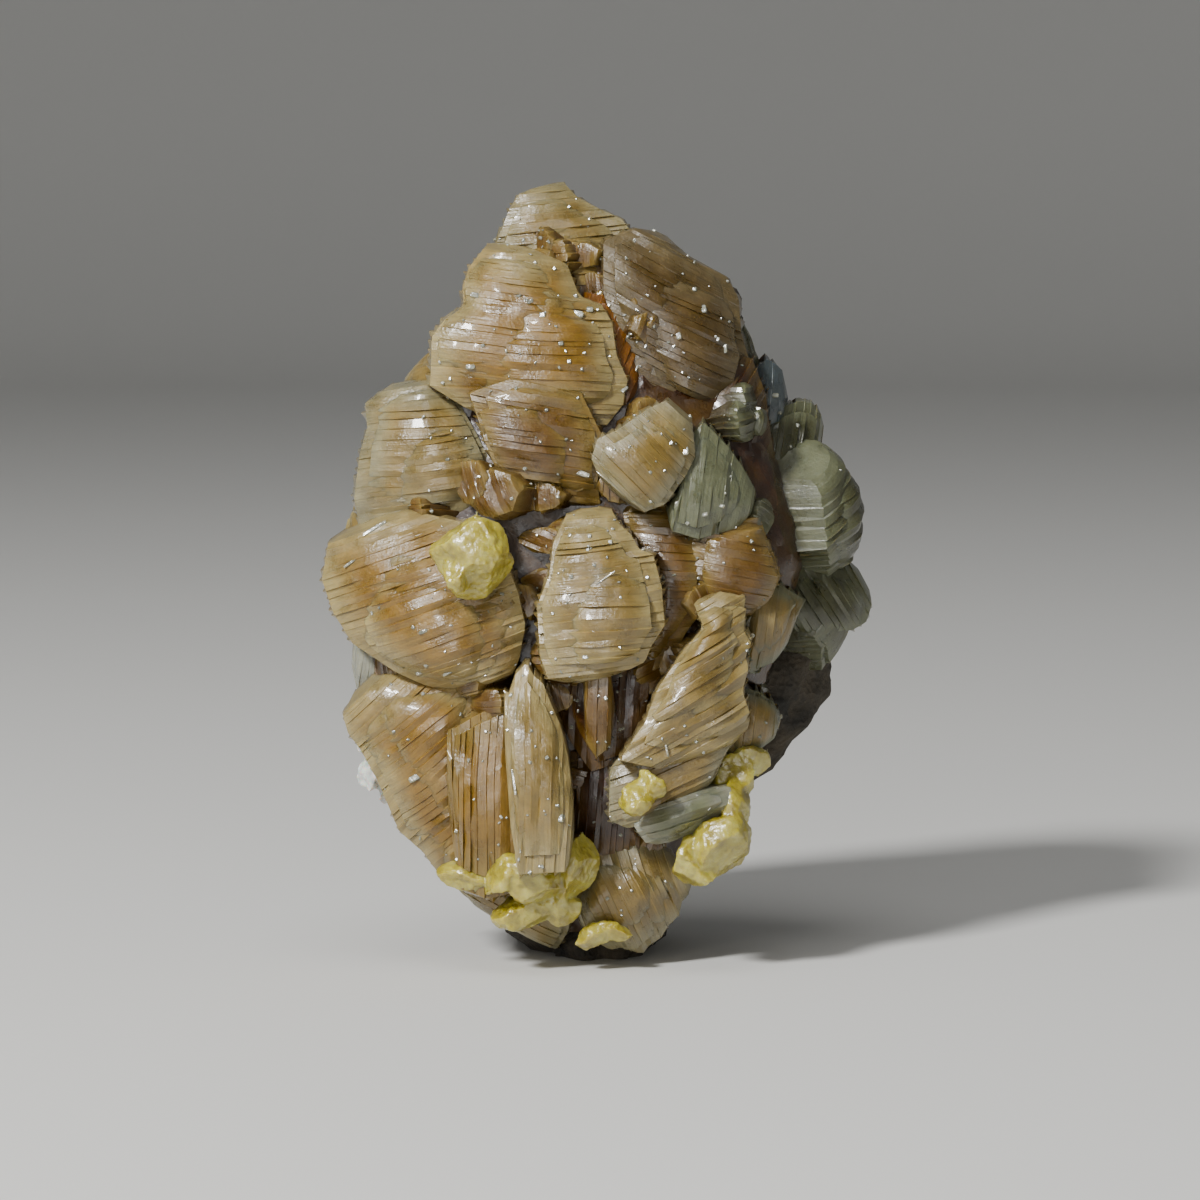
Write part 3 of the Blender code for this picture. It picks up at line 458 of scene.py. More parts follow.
def liftAt(u, v, phase, number, step, seed):
    # The face's relief: the steps between pages, square ends in them, and a soft swell under them
    form = pageForm
    steady, swing = form["fade"]
    alongGrain, pageGrain = form["fadeGrain"]
    fade = min(1.0, max(0.0, steady + swing * noiseAt(u * alongGrain, number * pageGrain, seed)))
    lift = step * (phase - 0.5) * 2 * fade
    alongGrain, pageGrain = form["blockGrain"]
    lift += form["block"] * blocky(u * alongGrain, number * pageGrain, seed, form["blockSteps"])
    grain = form["swellGrain"]
    return lift + form["swell"] * noiseAt(u * grain, v * grain, seed + form["swellSeed"])


def toothAt(share, riseShare, behind, phase, number, ends, seed):
    # How far a page's end stands out beside its slab; the face has no teeth
    form = pageForm
    if riseShare == 1.0:
        return 0.0
    tooth = 0.0 if behind else ends[share > 0] * (phase - form["toothMiddle"])
    return tooth + form["ragged"] * noiseAt(number * form["raggedGrain"], share, seed)


def slabRings(crest, seed):
    form = crestForm
    rand = random.Random(seed)
    angle = math.radians(crest["lines"])
    uAxis = Vector((math.cos(angle), math.sin(angle)))
    vAxis = Vector((-math.sin(angle), math.cos(angle)))
    outline = [Vector(p) for p in crest["outline"]]
    levels = [p.dot(vAxis) for p in outline]
    low, high = min(levels), max(levels)
    middle = sum(outline, Vector((0.0, 0.0))) / len(outline)
    widest = max(p.dot(uAxis) for p in outline) - min(p.dot(uAxis) for p in outline)
    profile = slabProfile(max(form["fewestPoints"], round(widest / form["pointStep"])))
    edge, body = (palette[tone] for tone in crest["tones"])
    # The root colour is partly the deeper amber of thick crystal and partly painted shade
    root = mixed(body, palette["umber"], form["rootUmberAndShade"])
    uWave, vWave = pageForm["waveGrain"]
    ends = {}
    rings = []
    for v, phase, number, step in pageStations(low, high, rand):
        left, right = chordAt(outline, uAxis, vAxis, v)
        half = (right - left) / 2
        along = (2 * v - low - high) / (high - low)
        crown = crownAt(along)
        if number not in ends:
            ends[number] = [rand.uniform(*pageForm["tooth"]) * rand.choice(pageForm["toothSizes"])
                            for _ in range(2)]
        narrow = min(1.0, half / form["fullRelief"])
        ring = []
        for share, riseShare, behind in profile:
            u = (left + right) / 2 + share * half
            bulge = 1 - form["bulge"] * (abs(share) ** form["bulgePower"] if riseShare == 1.0 else 1)
            rise = crown * bulge * riseShare
            y = crest["rim"] - (crest["rim"] - crest["front"]) * rise + form["rootDepth"] * behind
            tooth = toothAt(share, riseShare, behind, phase, number, ends[number], seed)
            wave = noiseAt(u * uWave, v * vWave, seed + pageForm["swellSeed"])
            wave *= pageForm["wave"] * (1 - abs(along))
            flat = uAxis * (u + math.copysign(1, share) * tooth * narrow) + vAxis * (v + wave)
            depth = y
            if riseShare > 0.5:      # the relief is on the face and the upper sides
                depth -= liftAt(u, v, phase, number, step, seed) * narrow
            point = seated((flat.x, depth, flat.y), crest, middle)
            patch = form["patch"] * noiseAt(u * form["patchGrain"], v * form["patchGrain"],
                                            seed + form["patchSeed"])
            # Paler towards the outline: partly the thin edge's own tone, partly painted highlight on lit
            # edges
            rimNear = smooth(form["paleFrom"], 1.0, max(abs(share), abs(along)))
            tint = mixed(body, edge, rimNear + patch)
            # Darker low on the sides and towards the root: painted shade between the crests, partly
            # deeper amber
            tint = mixed(tint, root, (1 - riseShare) * form["rootToneAndSideShade"] + behind)
            ring.append((point, tint, Vector((u, v, y))))
        rings.append(ring)
    return rings


def layered(crest, seed):
    # A large crest is a pile of slabs: each further one is smaller, off to a side and further forward
    form = layerForm
    rand = random.Random(seed + form["seed"])
    outline = [Vector(p) for p in crest["outline"]]
    middle = sum(outline, Vector((0.0, 0.0))) / len(outline)
    size = min(max(p[k] for p in outline) - min(p[k] for p in outline) for k in (0, 1))
    count = 1 + sum(size > least for least in form["extraFrom"])
    layers = []
    for k in range(count):
        scale = 1 - form["shrink"] * k
        turn = rand.uniform(0, 2 * math.pi)
        shift = Vector((math.cos(turn), math.sin(turn))) * size * form["shift"] * k
        copy = dict(crest)
        copy["outline"] = [middle + (p - middle) * scale + shift for p in outline]
        copy["front"] = crest["front"] + form["rise"] * (count - 1 - k)
        copy["lines"] = (crest.get("lines", form["plateLines"])
                         + rand.uniform(-form["lineSwing"], form["lineSwing"]))
        layers.append(copy)
    return layers


# Crust and rock: oval sections from the foot up (z, left, right, front, back)

crustForm = dict(
    points=96, rings=84, ovalPower=0.8,
    lumps=0.8, lumpGrain=0.45,     # height of the lumps, and lumps per millimetre
    brown=0.2, brownGrain=0.3,
    sections=[
        (3.0, -8.0, 5.5, -5.5, 7.0), (9.0, -13.5, 8.0, -8.0, 7.5), (16.0, -18.5, 11.0, -9.5, 8.0),
        (24.0, -22.0, 15.0, -10.0, 8.5), (32.0, -23.0, 18.5, -10.5, 9.0),
        (40.0, -23.5, 20.5, -10.5, 9.0), (48.0, -21.5, 18.5, -10.0, 8.5),
        (56.0, -18.0, 15.5, -8.5, 8.0), (64.0, -12.5, 11.5, -5.5, 7.5), (71.0, -8.0, 5.5, -1.5, 6.5),
        (74.0, -5.0, 1.0, 1.5, 5.0)])

rockForm = dict(
    points=160, rings=150, ovalPower=0.8,
    humps=(1.5, 0.7),          # how far large and small humps stand in or out
    grain=(0.10, 0.35),        # humps per millimetre
    lumps=0.9, lumpGrain=0.28,
    fine=0.25, fineGrain=1.3,
    sections=[
        (0.0, -7.2, 4.2, -5.0, 14.5), (1.2, -8.2, 5.0, -5.2, 15.5), (4.0, -10.4, 6.6, -4.6, 16.4),
        (8.0, -14.2, 8.6, -3.8, 17.2), (12.0, -16.8, 11.8, -3.2, 18.0), (16.0, -18.6, 14.4, -3.0, 18.6),
        (20.0, -19.6, 17.6, -2.6, 19.2), (24.0, -20.8, 20.0, -2.4, 19.8),
        (28.0, -21.8, 21.2, -2.2, 20.0), (32.0, -23.0, 23.2, -2.0, 19.8),
        (37.0, -24.0, 24.2, -1.8, 19.2), (42.0, -24.0, 23.4, -1.4, 18.6),
        (47.0, -22.6, 21.4, -1.0, 17.2), (52.0, -20.4, 18.8, -0.8, 16.4),
        (57.0, -18.0, 16.8, -0.4, 15.4), (62.0, -15.2, 15.0, 0.2, 14.4),
        (66.0, -12.4, 13.4, 1.0, 13.4), (70.0, -9.4, 8.8, 2.4, 12.0), (73.0, -5.5, 2.5, 4.2, 9.6)])


def sectionAt(sections, z):
    for lower, upper in zip(sections, sections[1:]):
        if z <= upper[0]:
            share = (z - lower[0]) / (upper[0] - lower[0])
            return [a + (b - a) * share for a, b in zip(lower, upper)][1:]
    return list(sections[-1][1:])


def ovalRings(form, roughen, tintOf):
    rings = []
    low, high = form["sections"][0][0], form["sections"][-1][0]
    for k in range(form["rings"]):
        z = low + (high - low) * k / (form["rings"] - 1)
        left, right, front, back = sectionAt(form["sections"], z)
        ring = []
        for i in range(form["points"]):
            turn = 2 * math.pi * i / form["points"]
            side, deep = math.cos(turn), math.sin(turn)
            sideShare, deepShare = (math.copysign(abs(a) ** form["ovalPower"], a) for a in (side, deep))
            x = (left + right) / 2 + (right - left) / 2 * sideShare
            y = (front + back) / 2 + (back - front) / 2 * deepShare
            spot = Vector((x, y, z))
            point = spot + Vector((side, deep, 0.0)) * roughen(spot)
            ring.append((point, tintOf(point), point))
        rings.append(ring)
    return rings


def angularLumps(spot, height):
    # Lumps with creases between them; the creases lie half a height in
    nearest, second = noise.voronoi(spot)[0][:2]
    return height * (second - nearest) - height / 2


def rockRoughness(spot):
    form = rockForm
    humps = sum(height * 2 * noise.noise(spot * grain)
                for height, grain in zip(form["humps"], form["grain"]))
    fine = form["fine"] * noise.noise(spot * form["fineGrain"]) * min(1.0, spot.z)
    return humps + angularLumps(spot * form["lumpGrain"], form["lumps"]) + fine


def crustRoughness(spot):
    return angularLumps(spot * crustForm["lumpGrain"], crustForm["lumps"])


# The crust shows only in the gaps between crests; its umber to honey-brown is partly the barite's brown,
# partly painted shade in those gaps
def crustTintAndGapShade(point):
    brown = crustForm["brown"] + noise.noise(point * crustForm["brownGrain"])
    return mixed(palette["umber"], palette["honeyBrown"], brown)


# Filler crystals: small crests that stand on the crust between the large ones and along its edges

fillerForm = dict(
    count=130, seed=41, firstRingSeed=300,
    across=(1.6, 3.4), tall=(1.2, 2.6), stands=(0.6, 2.0),
    levels=(7.0, 71.0), swing=112,
    seat=0.97, rim=0.2,      # where the crust's skin is taken to be, and the rim's place behind it
    corners=8, cornerStray=0.5,
    lines=((-35, 35), (60, 120)),
    # Crests turned right past flankFrom degrees take darker tones: partly greyer crystal, partly painted
    # shade of that side
    tones=("tan", "honeyBrown"), flankFrom=45, flankTonesAndShade=("sage", "olive"))


def fillerCrests():
    form = fillerForm
    rand = random.Random(form["seed"])
    crests = []
    for _ in range(form["count"]):
        z = rand.uniform(*form["levels"])
        turn = rand.uniform(-form["swing"], form["swing"])
        left, right, front, back = sectionAt(crustForm["sections"], z)
        aim = Matrix.Rotation(math.radians(turn), 2) @ Vector((0.0, -1.0))
        reachX = (right if aim.x > 0 else -left) * abs(aim.x)
        reachY = (-front if aim.y < 0 else back) * abs(aim.y)
        reach = math.hypot(reachX, reachY) * form["seat"]
        across, tall = rand.uniform(*form["across"]), rand.uniform(*form["tall"])
        stands = rand.uniform(*form["stands"])
        outline = []
        for corner in range(form["corners"]):
            a = 2 * math.pi * (corner + form["cornerStray"] * rand.random()) / form["corners"]
            outline.append((across * math.cos(a), z + tall * math.sin(a)))
        lines = rand.choice([rand.uniform(*span) for span in form["lines"]])
        crests.append(dict(
            lines=lines, front=-reach - stands, rim=-reach + form["rim"], slope=(0.0, 0.0), turn=turn,
            # right-side fillers get the darker tones, partly painted shade
            tones=form["flankTonesAndShade"] if turn > form["flankFrom"] else form["tones"], outline=outline))
    return crests


# Sulphur and the white chip: clusters of blocky crystals (middle, half-sizes, turn about Y)

clusterForm = dict(
    ball=1.25, cuts=8, cutReach=(0.72, 0.95),      # a crystal is a ball, cut by planes
    voxel=0.17, softened=2,
    pits=(0.16, 0.09), pitScale=(0.7, 2.1),
    facets=0.22, facetScale=0.75, sunk=0.12,
    clusters={
        "sulphurLeft": ("sulphur_left", 100, [
            ((-12.4, -17.6, 41.2), (3.5, 2.4, 3.6), 15), ((-11.2, -18.3, 42.6), (2.3, 1.7, 1.9), 50),
            ((-13.6, -18.2, 39.9), (1.8, 1.7, 1.7), 70)]),
        "sulphurSmall": ("sulphur_small", 120, [
            ((3.5, -18.6, 17.9), (1.5, 1.6, 1.5), 35), ((5.1, -18.2, 19.3), (1.6, 1.2, 1.1), 25)]),
        "sulphurRight": ("sulphur_right", 140, [
            ((11.6, -12.8, 13.0), (2.5, 3.2, 3.3), 20), ((9.2, -13.6, 11.2), (2.4, 2.4, 2.1), 65),
            ((12.7, -11.4, 16.2), (1.7, 2.8, 2.6), 0), ((13.2, -10.6, 19.4), (1.9, 2.2, 2.4), 40),
            ((14.9, -10.4, 20.9), (1.6, 1.7, 1.4), 20)]),
        "sulphurLower": ("sulphur_lower", 160, [
            ((-9.4, -13.9, 9.8), (2.0, 2.0, 2.2), 40), ((-12.6, -12.2, 9.2), (2.8, 2.0, 1.3), 15),
            ((-6.4, -14.4, 9.5), (2.6, 2.4, 2.1), 10), ((-2.9, -13.2, 10.6), (2.5, 2.3, 2.9), 30),
            ((-7.2, -12.6, 6.2), (3.0, 2.2, 1.7), -10), ((-4.0, -12.2, 6.6), (1.8, 1.8, 1.9), 60)]),
        "sulphurFoot": ("sulphur_foot", 180, [
            ((-0.9, -11.7, 3.4), (1.9, 1.3, 1.2), -20), ((1.5, -12.0, 3.9), (1.7, 1.0, 0.8), 25)]),
        "whiteChip": ("white_chip", 200, [
            ((-22.3, -4.2, 19.2), (1.6, 2.2, 2.4), 10), ((-22.4, -3.4, 21.4), (1.5, 1.6, 1.6), -20),
            ((-20.9, -3.6, 17.2), (1.3, 1.7, 1.4), 30)]),
    })


def chunk(name, middle, halfSizes, turn, seed):
    # A ball cut by flat faces at seeded places
    form = clusterForm
    rand = random.Random(seed)
    deselectAll()
    bpy.ops.mesh.primitive_ico_sphere_add(subdivisions=3, radius=form["ball"])
    piece = bpy.context.object
    piece.name = name
    bpy.ops.object.mode_set(mode="EDIT")
    for _ in range(form["cuts"]):
        normal = Vector((rand.uniform(-1, 1), rand.uniform(-1, 1), rand.uniform(-1, 1))).normalized()
        reach = rand.uniform(*form["cutReach"])
        bpy.ops.mesh.select_all(action="SELECT")
        bpy.ops.mesh.bisect(plane_co=normal * reach, plane_no=normal, use_fill=True, clear_outer=True)
    bpy.ops.object.mode_set(mode="OBJECT")
    scale = Matrix.Diagonal([size * mm for size in halfSizes] + [1.0])
    spin = Matrix.Rotation(math.radians(turn), 4, "Y")
    piece.data.transform(Matrix.Translation(Vector(middle) * mm) @ spin @ scale)
    return piece


def cluster(name, seed, chunks):
    form = clusterForm
    bodies = [chunk(f"{name}{k}", *values, seed + k) for k, values in enumerate(chunks)]
    piece = joined(name, bodies)
    remesh = piece.modifiers.new("oneSkin", "REMESH")
    remesh.mode = "VOXEL"
    remesh.voxel_size = form["voxel"] * mm
    soften = piece.modifiers.new("soften", "SMOOTH")
    soften.iterations = form["softened"]
    for modifier in ("oneSkin", "soften"):
        bpy.ops.object.modifier_apply(modifier=modifier)
    for vert in piece.data.vertices:
        spot = vert.co / mm
        pit = sum(depth * noise.noise(spot * scale)
                  for depth, scale in zip(form["pits"], form["pitScale"]))
        cells = noise.voronoi(spot * form["facetScale"])[0]
        vert.co += vert.normal * (pit + form["facets"] * (cells[1] - cells[0]) - form["sunk"]) * mm
    return piece


# Glints: small tablets that are set on the crests where a line from the front meets them

def surfaceAt(pieces, x, z, start=-60.0):
    best = None
    for piece in pieces:
        hit, point, _, _ = piece.ray_cast(Vector((x, start, z)) * mm, Vector((0, 1, 0)))
        if hit and (best is None or point.y < best.y):
            best = point.copy()
    return best


def tabularCrystal(name):
    # One small tablet with bevelled edges; each copy is brought to its own size
    deselectAll()
    bpy.ops.mesh.primitive_cube_add(size=1)
    tablet = bpy.context.object
    tablet.name = name
    bpy.ops.object.mode_set(mode="EDIT")
    bpy.ops.mesh.select_all(action="SELECT")
    bpy.ops.mesh.bevel(offset=glintForm["bevel"], segments=1)
    bpy.ops.object.mode_set(mode="OBJECT")
    return tablet


def setCopies(name, template, matrices, colour):
    bodies = []
    for matrix in matrices:
        shape = template.data.copy()
        shape.transform(matrix)
        body = bpy.data.objects.new(name, shape)
        bpy.context.collection.objects.link(body)
        tint = shape.attributes.new("tint", "FLOAT_COLOR", "POINT")
        grain = shape.attributes.new("grain", "FLOAT_VECTOR", "POINT")
        for vert in shape.vertices:
            tint.data[vert.index].color = (*colour, 1.0)
            grain.data[vert.index].vector = vert.co / mm
        bodies.append(body)
    bpy.data.objects.remove(template, do_unlink=True)
    return joined(name, bodies)


glintForm = dict(
    seed=17, scattered=420, size=(0.16, 0.42), slimness=(0.4, 1.0),
    across=(-2.0, 11.5), levels=(4.0, 76.0),      # middle and spread of the scattered ones, and heights
    thick=0.3, bevel=0.16, sunk=0.02,
    straying=5.0,      # degrees from the direction that mirrors the key lamp to the front camera
    # x, z, length, width and tilt of the glints that stand out
    places=[
        (-7.9, 66.3, 0.5, 0.4, 10), (-6.8, 65.7, 0.6, 0.4, 20), (-5.6, 64.4, 0.6, 0.5, 0),
        (-2.2, 64.5, 1.2, 0.6, -15), (-1.0, 64.9, 0.7, 0.5, 0), (-3.8, 61.7, 0.5, 0.5, 0),
        (-3.0, 59.9, 0.4, 0.4, 0), (2.7, 62.2, 0.6, 0.3, 40), (3.6, 59.0, 1.2, 0.2, 75),
        (2.4, 57.1, 0.8, 0.4, 50), (-12.6, 59.4, 0.9, 0.6, 0), (-12.2, 66.3, 0.5, 0.9, 80),
        (9.3, 66.8, 0.4, 0.4, 0), (10.2, 64.9, 0.5, 0.8, 10), (12.3, 61.0, 0.4, 0.9, 0),
        (7.7, 62.3, 0.5, 0.7, 15), (-2.0, 49.1, 2.4, 0.5, -28), (8.2, 51.3, 0.8, 0.8, 0),
        (10.2, 45.1, 0.6, 0.4, 10), (11.8, 45.9, 0.7, 0.4, -20), (17.3, 56.2, 1.0, 0.4, -10),
        (15.3, 54.4, 0.8, 0.5, -25), (-22.0, 43.6, 2.6, 0.35, 33), (-24.1, 40.4, 2.2, 0.25, 33),
        (-17.6, 29.6, 0.7, 0.4, 20), (-14.7, 29.8, 1.2, 0.3, 25), (-17.1, 33.9, 0.9, 0.35, 20),
        (-11.0, 37.6, 0.8, 0.4, 0), (0.5, 39.2, 2.4, 0.12, 35), (-1.0, 43.2, 0.4, 0.4, 0),
        (1.0, 42.6, 0.4, 0.4, 0), (-1.4, 31.6, 0.6, 0.4, 0), (-8.3, 19.5, 0.25, 2.6, 8),
        (-3.8, 16.0, 0.5, 0.8, 0), (6.4, 22.9, 0.2, 2.2, 12), (-18.1, 19.2, 1.3, 0.6, 30)])


def glintPlaces(pieces, towards):
    # A matrix, in metres, for each tablet
    form = glintForm
    rand = random.Random(form["seed"])
    spots = list(form["places"])
    for _ in range(form["scattered"]):
        size = rand.uniform(*form["size"])
        spots.append((rand.gauss(*form["across"]), rand.uniform(*form["levels"]), size,
                      size * rand.uniform(*form["slimness"]), rand.uniform(-90, 90)))
    places = []
    for x, z, length, width, tilt in spots:
        found = surfaceAt(pieces, x, z)
        if found is None:
            continue
        stray = Vector([rand.gauss(0, math.radians(form["straying"])) for _ in range(3)])
        normal = (towards + stray).normalized()
        along = Vector((math.cos(math.radians(tilt)), 0.0, math.sin(math.radians(tilt))))
        along = (along - normal * along.dot(normal)).normalized()
        across = normal.cross(along)
        axes = Matrix((along, across, normal)).transposed().to_4x4()
        size = Matrix.Diagonal((length * mm, width * mm, form["thick"] * mm, 1.0))
        places.append(Matrix.Translation(found + Vector((0, form["sunk"] * mm, 0))) @ axes @ size)
    return places


# Materials. Their patterns are worked out in millimetres: a scale of 0.5 makes patches 2 mm across.

def addNode(tree, kind, settings=None, links=None):
    # settings go to sockets where the node has one by that name or number, and to the node otherwise
    node = tree.nodes.new(kind)
    for key, value in (settings or {}).items():
        if isinstance(key, int) or key in node.inputs:
            node.inputs[key].default_value = value
        else:
            setattr(node, key, value)
    for key, source in (links or {}).items():
        tree.links.new(source, node.inputs[key])
    return node


def newMaterial(name):
    material = bpy.data.materials.new(name)
    material.use_nodes = True
    tree = material.node_tree
    tree.nodes.clear()
    return material, tree


def placeInMillimetres(tree):
    place = addNode(tree, "ShaderNodeTexCoord")
    scaled = addNode(tree, "ShaderNodeVectorMath", {"operation": "SCALE", "Scale": 1 / mm},
                     {0: place.outputs["Object"]})
    return {"Vector": scaled.outputs[0]}


def setStops(stops, low, high):
    # The two ends of a colour ramp, each as its place and its hex
    for stop, (position, code) in zip((stops[0], stops[1]), (low, high)):
        stop.position = position
        stop.color = (*linearColour(code), 1.0)


def bariteMaterial(name, scatter, roughness):
    # Crested barite is a translucent, glassy to waxy crystal, honey-coloured from iron. Light goes a
    # little way into it (scatter, in millimetres), and its growth faces carry fine lines.
    material, tree = newMaterial(name)
    place = placeInMillimetres(tree)
    tint = addNode(tree, "ShaderNodeAttribute", {"attribute_name": "tint"})
    grain = addNode(tree, "ShaderNodeAttribute", {"attribute_name": "grain"})
    clouds = addNode(tree, "ShaderNodeTexNoise", {"Scale": 0.45, "Detail": 4.0, "Roughness": 0.6}, place)
    cloudShade = addNode(tree, "ShaderNodeMapRange", {1: 0.3, 2: 0.7, 3: 0.72, 4: 1.16},
                         {0: clouds.outputs[0]})
    clouded = addNode(tree, "ShaderNodeMix", {"data_type": "RGBA", "blend_type": "MULTIPLY", 0: 1.0},
                      {6: tint.outputs["Color"], 7: cloudShade.outputs[0]})
    veil = addNode(tree, "ShaderNodeTexNoise", {"Scale": 1.1, "Detail": 5.0, "Roughness": 0.65}, place)
    veilShare = addNode(tree, "ShaderNodeMapRange", {1: 0.56, 2: 0.75, 3: 0.0, 4: 0.12},
                        {0: veil.outputs[0]})
    veiled = addNode(tree, "ShaderNodeMix", {"data_type": "RGBA", 7: (*palette["frost"], 1.0)},
                     {0: veilShare.outputs[0], 6: clouded.outputs[2]})
    # Growth lines: long along a page, 0.2 mm apart across it
    stretched = addNode(tree, "ShaderNodeMapping", {"Scale": (0.35, 5.0, 0.35)},
                        {"Vector": grain.outputs["Vector"]})
    lines = addNode(tree, "ShaderNodeTexNoise", {"Scale": 1.0, "Detail": 3.0, "Roughness": 0.55},
                    {"Vector": stretched.outputs[0]})
    lineShade = addNode(tree, "ShaderNodeMapRange", {1: 0.3, 2: 0.6, 3: 0.78, 4: 1.04},
                        {0: lines.outputs[0]})
    lined = addNode(tree, "ShaderNodeMix", {"data_type": "RGBA", "blend_type": "MULTIPLY", 0: 1.0},
                    {6: veiled.outputs[2], 7: lineShade.outputs[0]})
    grit = addNode(tree, "ShaderNodeTexNoise", {"Scale": 3.2, "Detail": 3.0}, place)
    relief = addNode(tree, "ShaderNodeMath", {"operation": "ADD"},
                     {0: lines.outputs[0], 1: grit.outputs[0]})
    bump = addNode(tree, "ShaderNodeBump", {"Strength": 0.5, "Distance": 0.12 * mm},
                   {"Height": relief.outputs[0]})
    dull = addNode(tree, "ShaderNodeMapRange", {1: 0.35, 2: 0.65, 3: roughness, 4: roughness + 0.25},
                   {0: clouds.outputs[0]})
    shader = addNode(tree, "ShaderNodeBsdfPrincipled", {
        "IOR": 1.64, "Subsurface Weight": 0.5, "Subsurface Radius": (1.0, 0.75, 0.4),
        "Subsurface Scale": scatter * mm, "Coat Weight": 0.35, "Coat Roughness": 0.08,
    }, {"Base Color": lined.outputs[2], "Roughness": dull.outputs[0], "Normal": bump.outputs[0]})
    addNode(tree, "ShaderNodeOutputMaterial", {}, {"Surface": shader.outputs[0]})
    return material


def sulphurMaterial():
    # Native sulphur is a resinous, translucent yellow crystal with a very high IOR. Broken and etched
    # faces are frosted paler, and thick or shaded parts look olive to amber.
    material, tree = newMaterial("nativeSulphur")
    place = placeInMillimetres(tree)
    clouds = addNode(tree, "ShaderNodeTexNoise", {"Scale": 0.5, "Detail": 5.0, "Roughness": 0.6}, place)
    yellows = addNode(tree, "ShaderNodeValToRGB", {}, {0: clouds.outputs[0]})
    setStops(yellows.color_ramp.elements, (0.32, "#8a7a14"), (0.68, "#c4bc62"))
    yellows.color_ramp.elements.new(0.5).color = (*linearColour("#ada032"), 1.0)
    pits = addNode(tree, "ShaderNodeTexNoise", {"Scale": 2.2, "Detail": 4.0}, place)
    bump = addNode(tree, "ShaderNodeBump", {"Strength": 0.6, "Distance": 0.2 * mm},
                   {"Height": pits.outputs[0]})
    shader = addNode(tree, "ShaderNodeBsdfPrincipled", {
        "IOR": 1.96, "Roughness": 0.28, "Subsurface Weight": 1.0, "Subsurface Radius": (1.0, 0.85, 0.12),
        "Subsurface Scale": 1.2 * mm, "Coat Weight": 0.3, "Coat Roughness": 0.1,
    }, {"Base Color": yellows.outputs[0], "Normal": bump.outputs[0]})
    addNode(tree, "ShaderNodeOutputMaterial", {}, {"Surface": shader.outputs[0]})
    return material


def rockMaterial():
    # Fine dark limestone, broken by hand: dull and nearly black, with brown stains and grains that shine
    material, tree = newMaterial("darkLimestone")
    place = placeInMillimetres(tree)
    stains = addNode(tree, "ShaderNodeTexNoise", {"Scale": 0.18, "Detail": 6.0, "Roughness": 0.65}, place)
    browns = addNode(tree, "ShaderNodeValToRGB", {}, {0: stains.outputs[0]})
    setStops(browns.color_ramp.elements, (0.38, "#2c2a25"), (0.66, "#5a5040"))
    grains = addNode(tree, "ShaderNodeTexVoronoi", {"Scale": 1.7}, place)
    grit = addNode(tree, "ShaderNodeTexNoise", {"Scale": 2.4, "Detail": 6.0, "Roughness": 0.7}, place)
    relief = addNode(tree, "ShaderNodeMath", {"operation": "ADD"},
                     {0: grains.outputs["Distance"], 1: grit.outputs[0]})
    bump = addNode(tree, "ShaderNodeBump", {"Strength": 0.9, "Distance": 0.4 * mm},
                   {"Height": relief.outputs[0]})
    shine = addNode(tree, "ShaderNodeMapRange", {1: 0.62, 2: 0.7, 3: 0.85, 4: 0.25},
                    {0: grit.outputs[0]})
    shader = addNode(tree, "ShaderNodeBsdfPrincipled", {"IOR": 1.55}, {
        "Base Color": browns.outputs[0], "Roughness": shine.outputs[0], "Normal": bump.outputs[0]})
    addNode(tree, "ShaderNodeOutputMaterial", {}, {"Surface": shader.outputs[0]})
    return material


def chalkMaterial():
    # White calcite crust: chalky, dull, and a little grey in its hollows
    material, tree = newMaterial("chalkyCalcite")
    place = placeInMillimetres(tree)
    clouds = addNode(tree, "ShaderNodeTexNoise", {"Scale": 0.9, "Detail": 5.0}, place)
    whites = addNode(tree, "ShaderNodeValToRGB", {}, {0: clouds.outputs[0]})
    setStops(whites.color_ramp.elements, (0.35, "#a9aba4"), (0.6, "#dcddd6"))
    bump = addNode(tree, "ShaderNodeBump", {"Strength": 0.5, "Distance": 0.2 * mm},
                   {"Height": clouds.outputs[0]})
    shader = addNode(tree, "ShaderNodeBsdfPrincipled", {
        "IOR": 1.5, "Roughness": 0.7, "Subsurface Weight": 0.5, "Subsurface Scale": 0.6 * mm,
    }, {"Base Color": whites.outputs[0], "Normal": bump.outputs[0]})
    addNode(tree, "ShaderNodeOutputMaterial", {}, {"Surface": shader.outputs[0]})
    return material


# Studio, in metres: camera, lights and a pale floor that turns up into a wall far away

studio = dict(
    cameraAway=0.5, cameraRaise=4.5, aim=(0.0, 0.0, 0.0357), lens=150.0, clip=(0.01, 20.0),
    floorRadius=1.6, wallRadius=2.6, wallTop=2.4, floorSides=96, wallSteps=10, smoothBelow=40,
    floorColour="#dddcd8", world=0.14, worldColour=(0.93, 0.96, 1.0),
    # side (degrees, left is minus), height (degrees), distance, size and power of each lamp
    lampAim=(0, 0, 0.04),
    lamps={
        "key": (-36, 36, 0.9, 0.14, 11.0),
        "fillLight": (-12, 10, 1.1, 0.6, 2.6),
        "topLight": (-10, 72, 0.9, 0.5, 1.6)})


def direction(side, height):
    a, b = math.radians(side), math.radians(height)
    return Vector((math.sin(a) * math.cos(b), -math.cos(a) * math.cos(b), math.sin(b)))


def aimed(name, data, target, towards, away):
    # An object for a camera or a lamp, away from its target and turned to it
    holder = bpy.data.objects.new(name, data)
    bpy.context.scene.collection.objects.link(holder)
    holder.location = target + towards * away
    holder.rotation_euler = (target - holder.location).to_track_quat("-Z", "Y").to_euler()
    return holder


def setCamera():
    data = bpy.data.cameras.new("camera")
    data.lens = studio["lens"]
    data.clip_start, data.clip_end = studio["clip"]
    bpy.context.scene.camera = aimed("camera", data, Vector(studio["aim"]),
                                     direction(0, studio["cameraRaise"]), studio["cameraAway"])


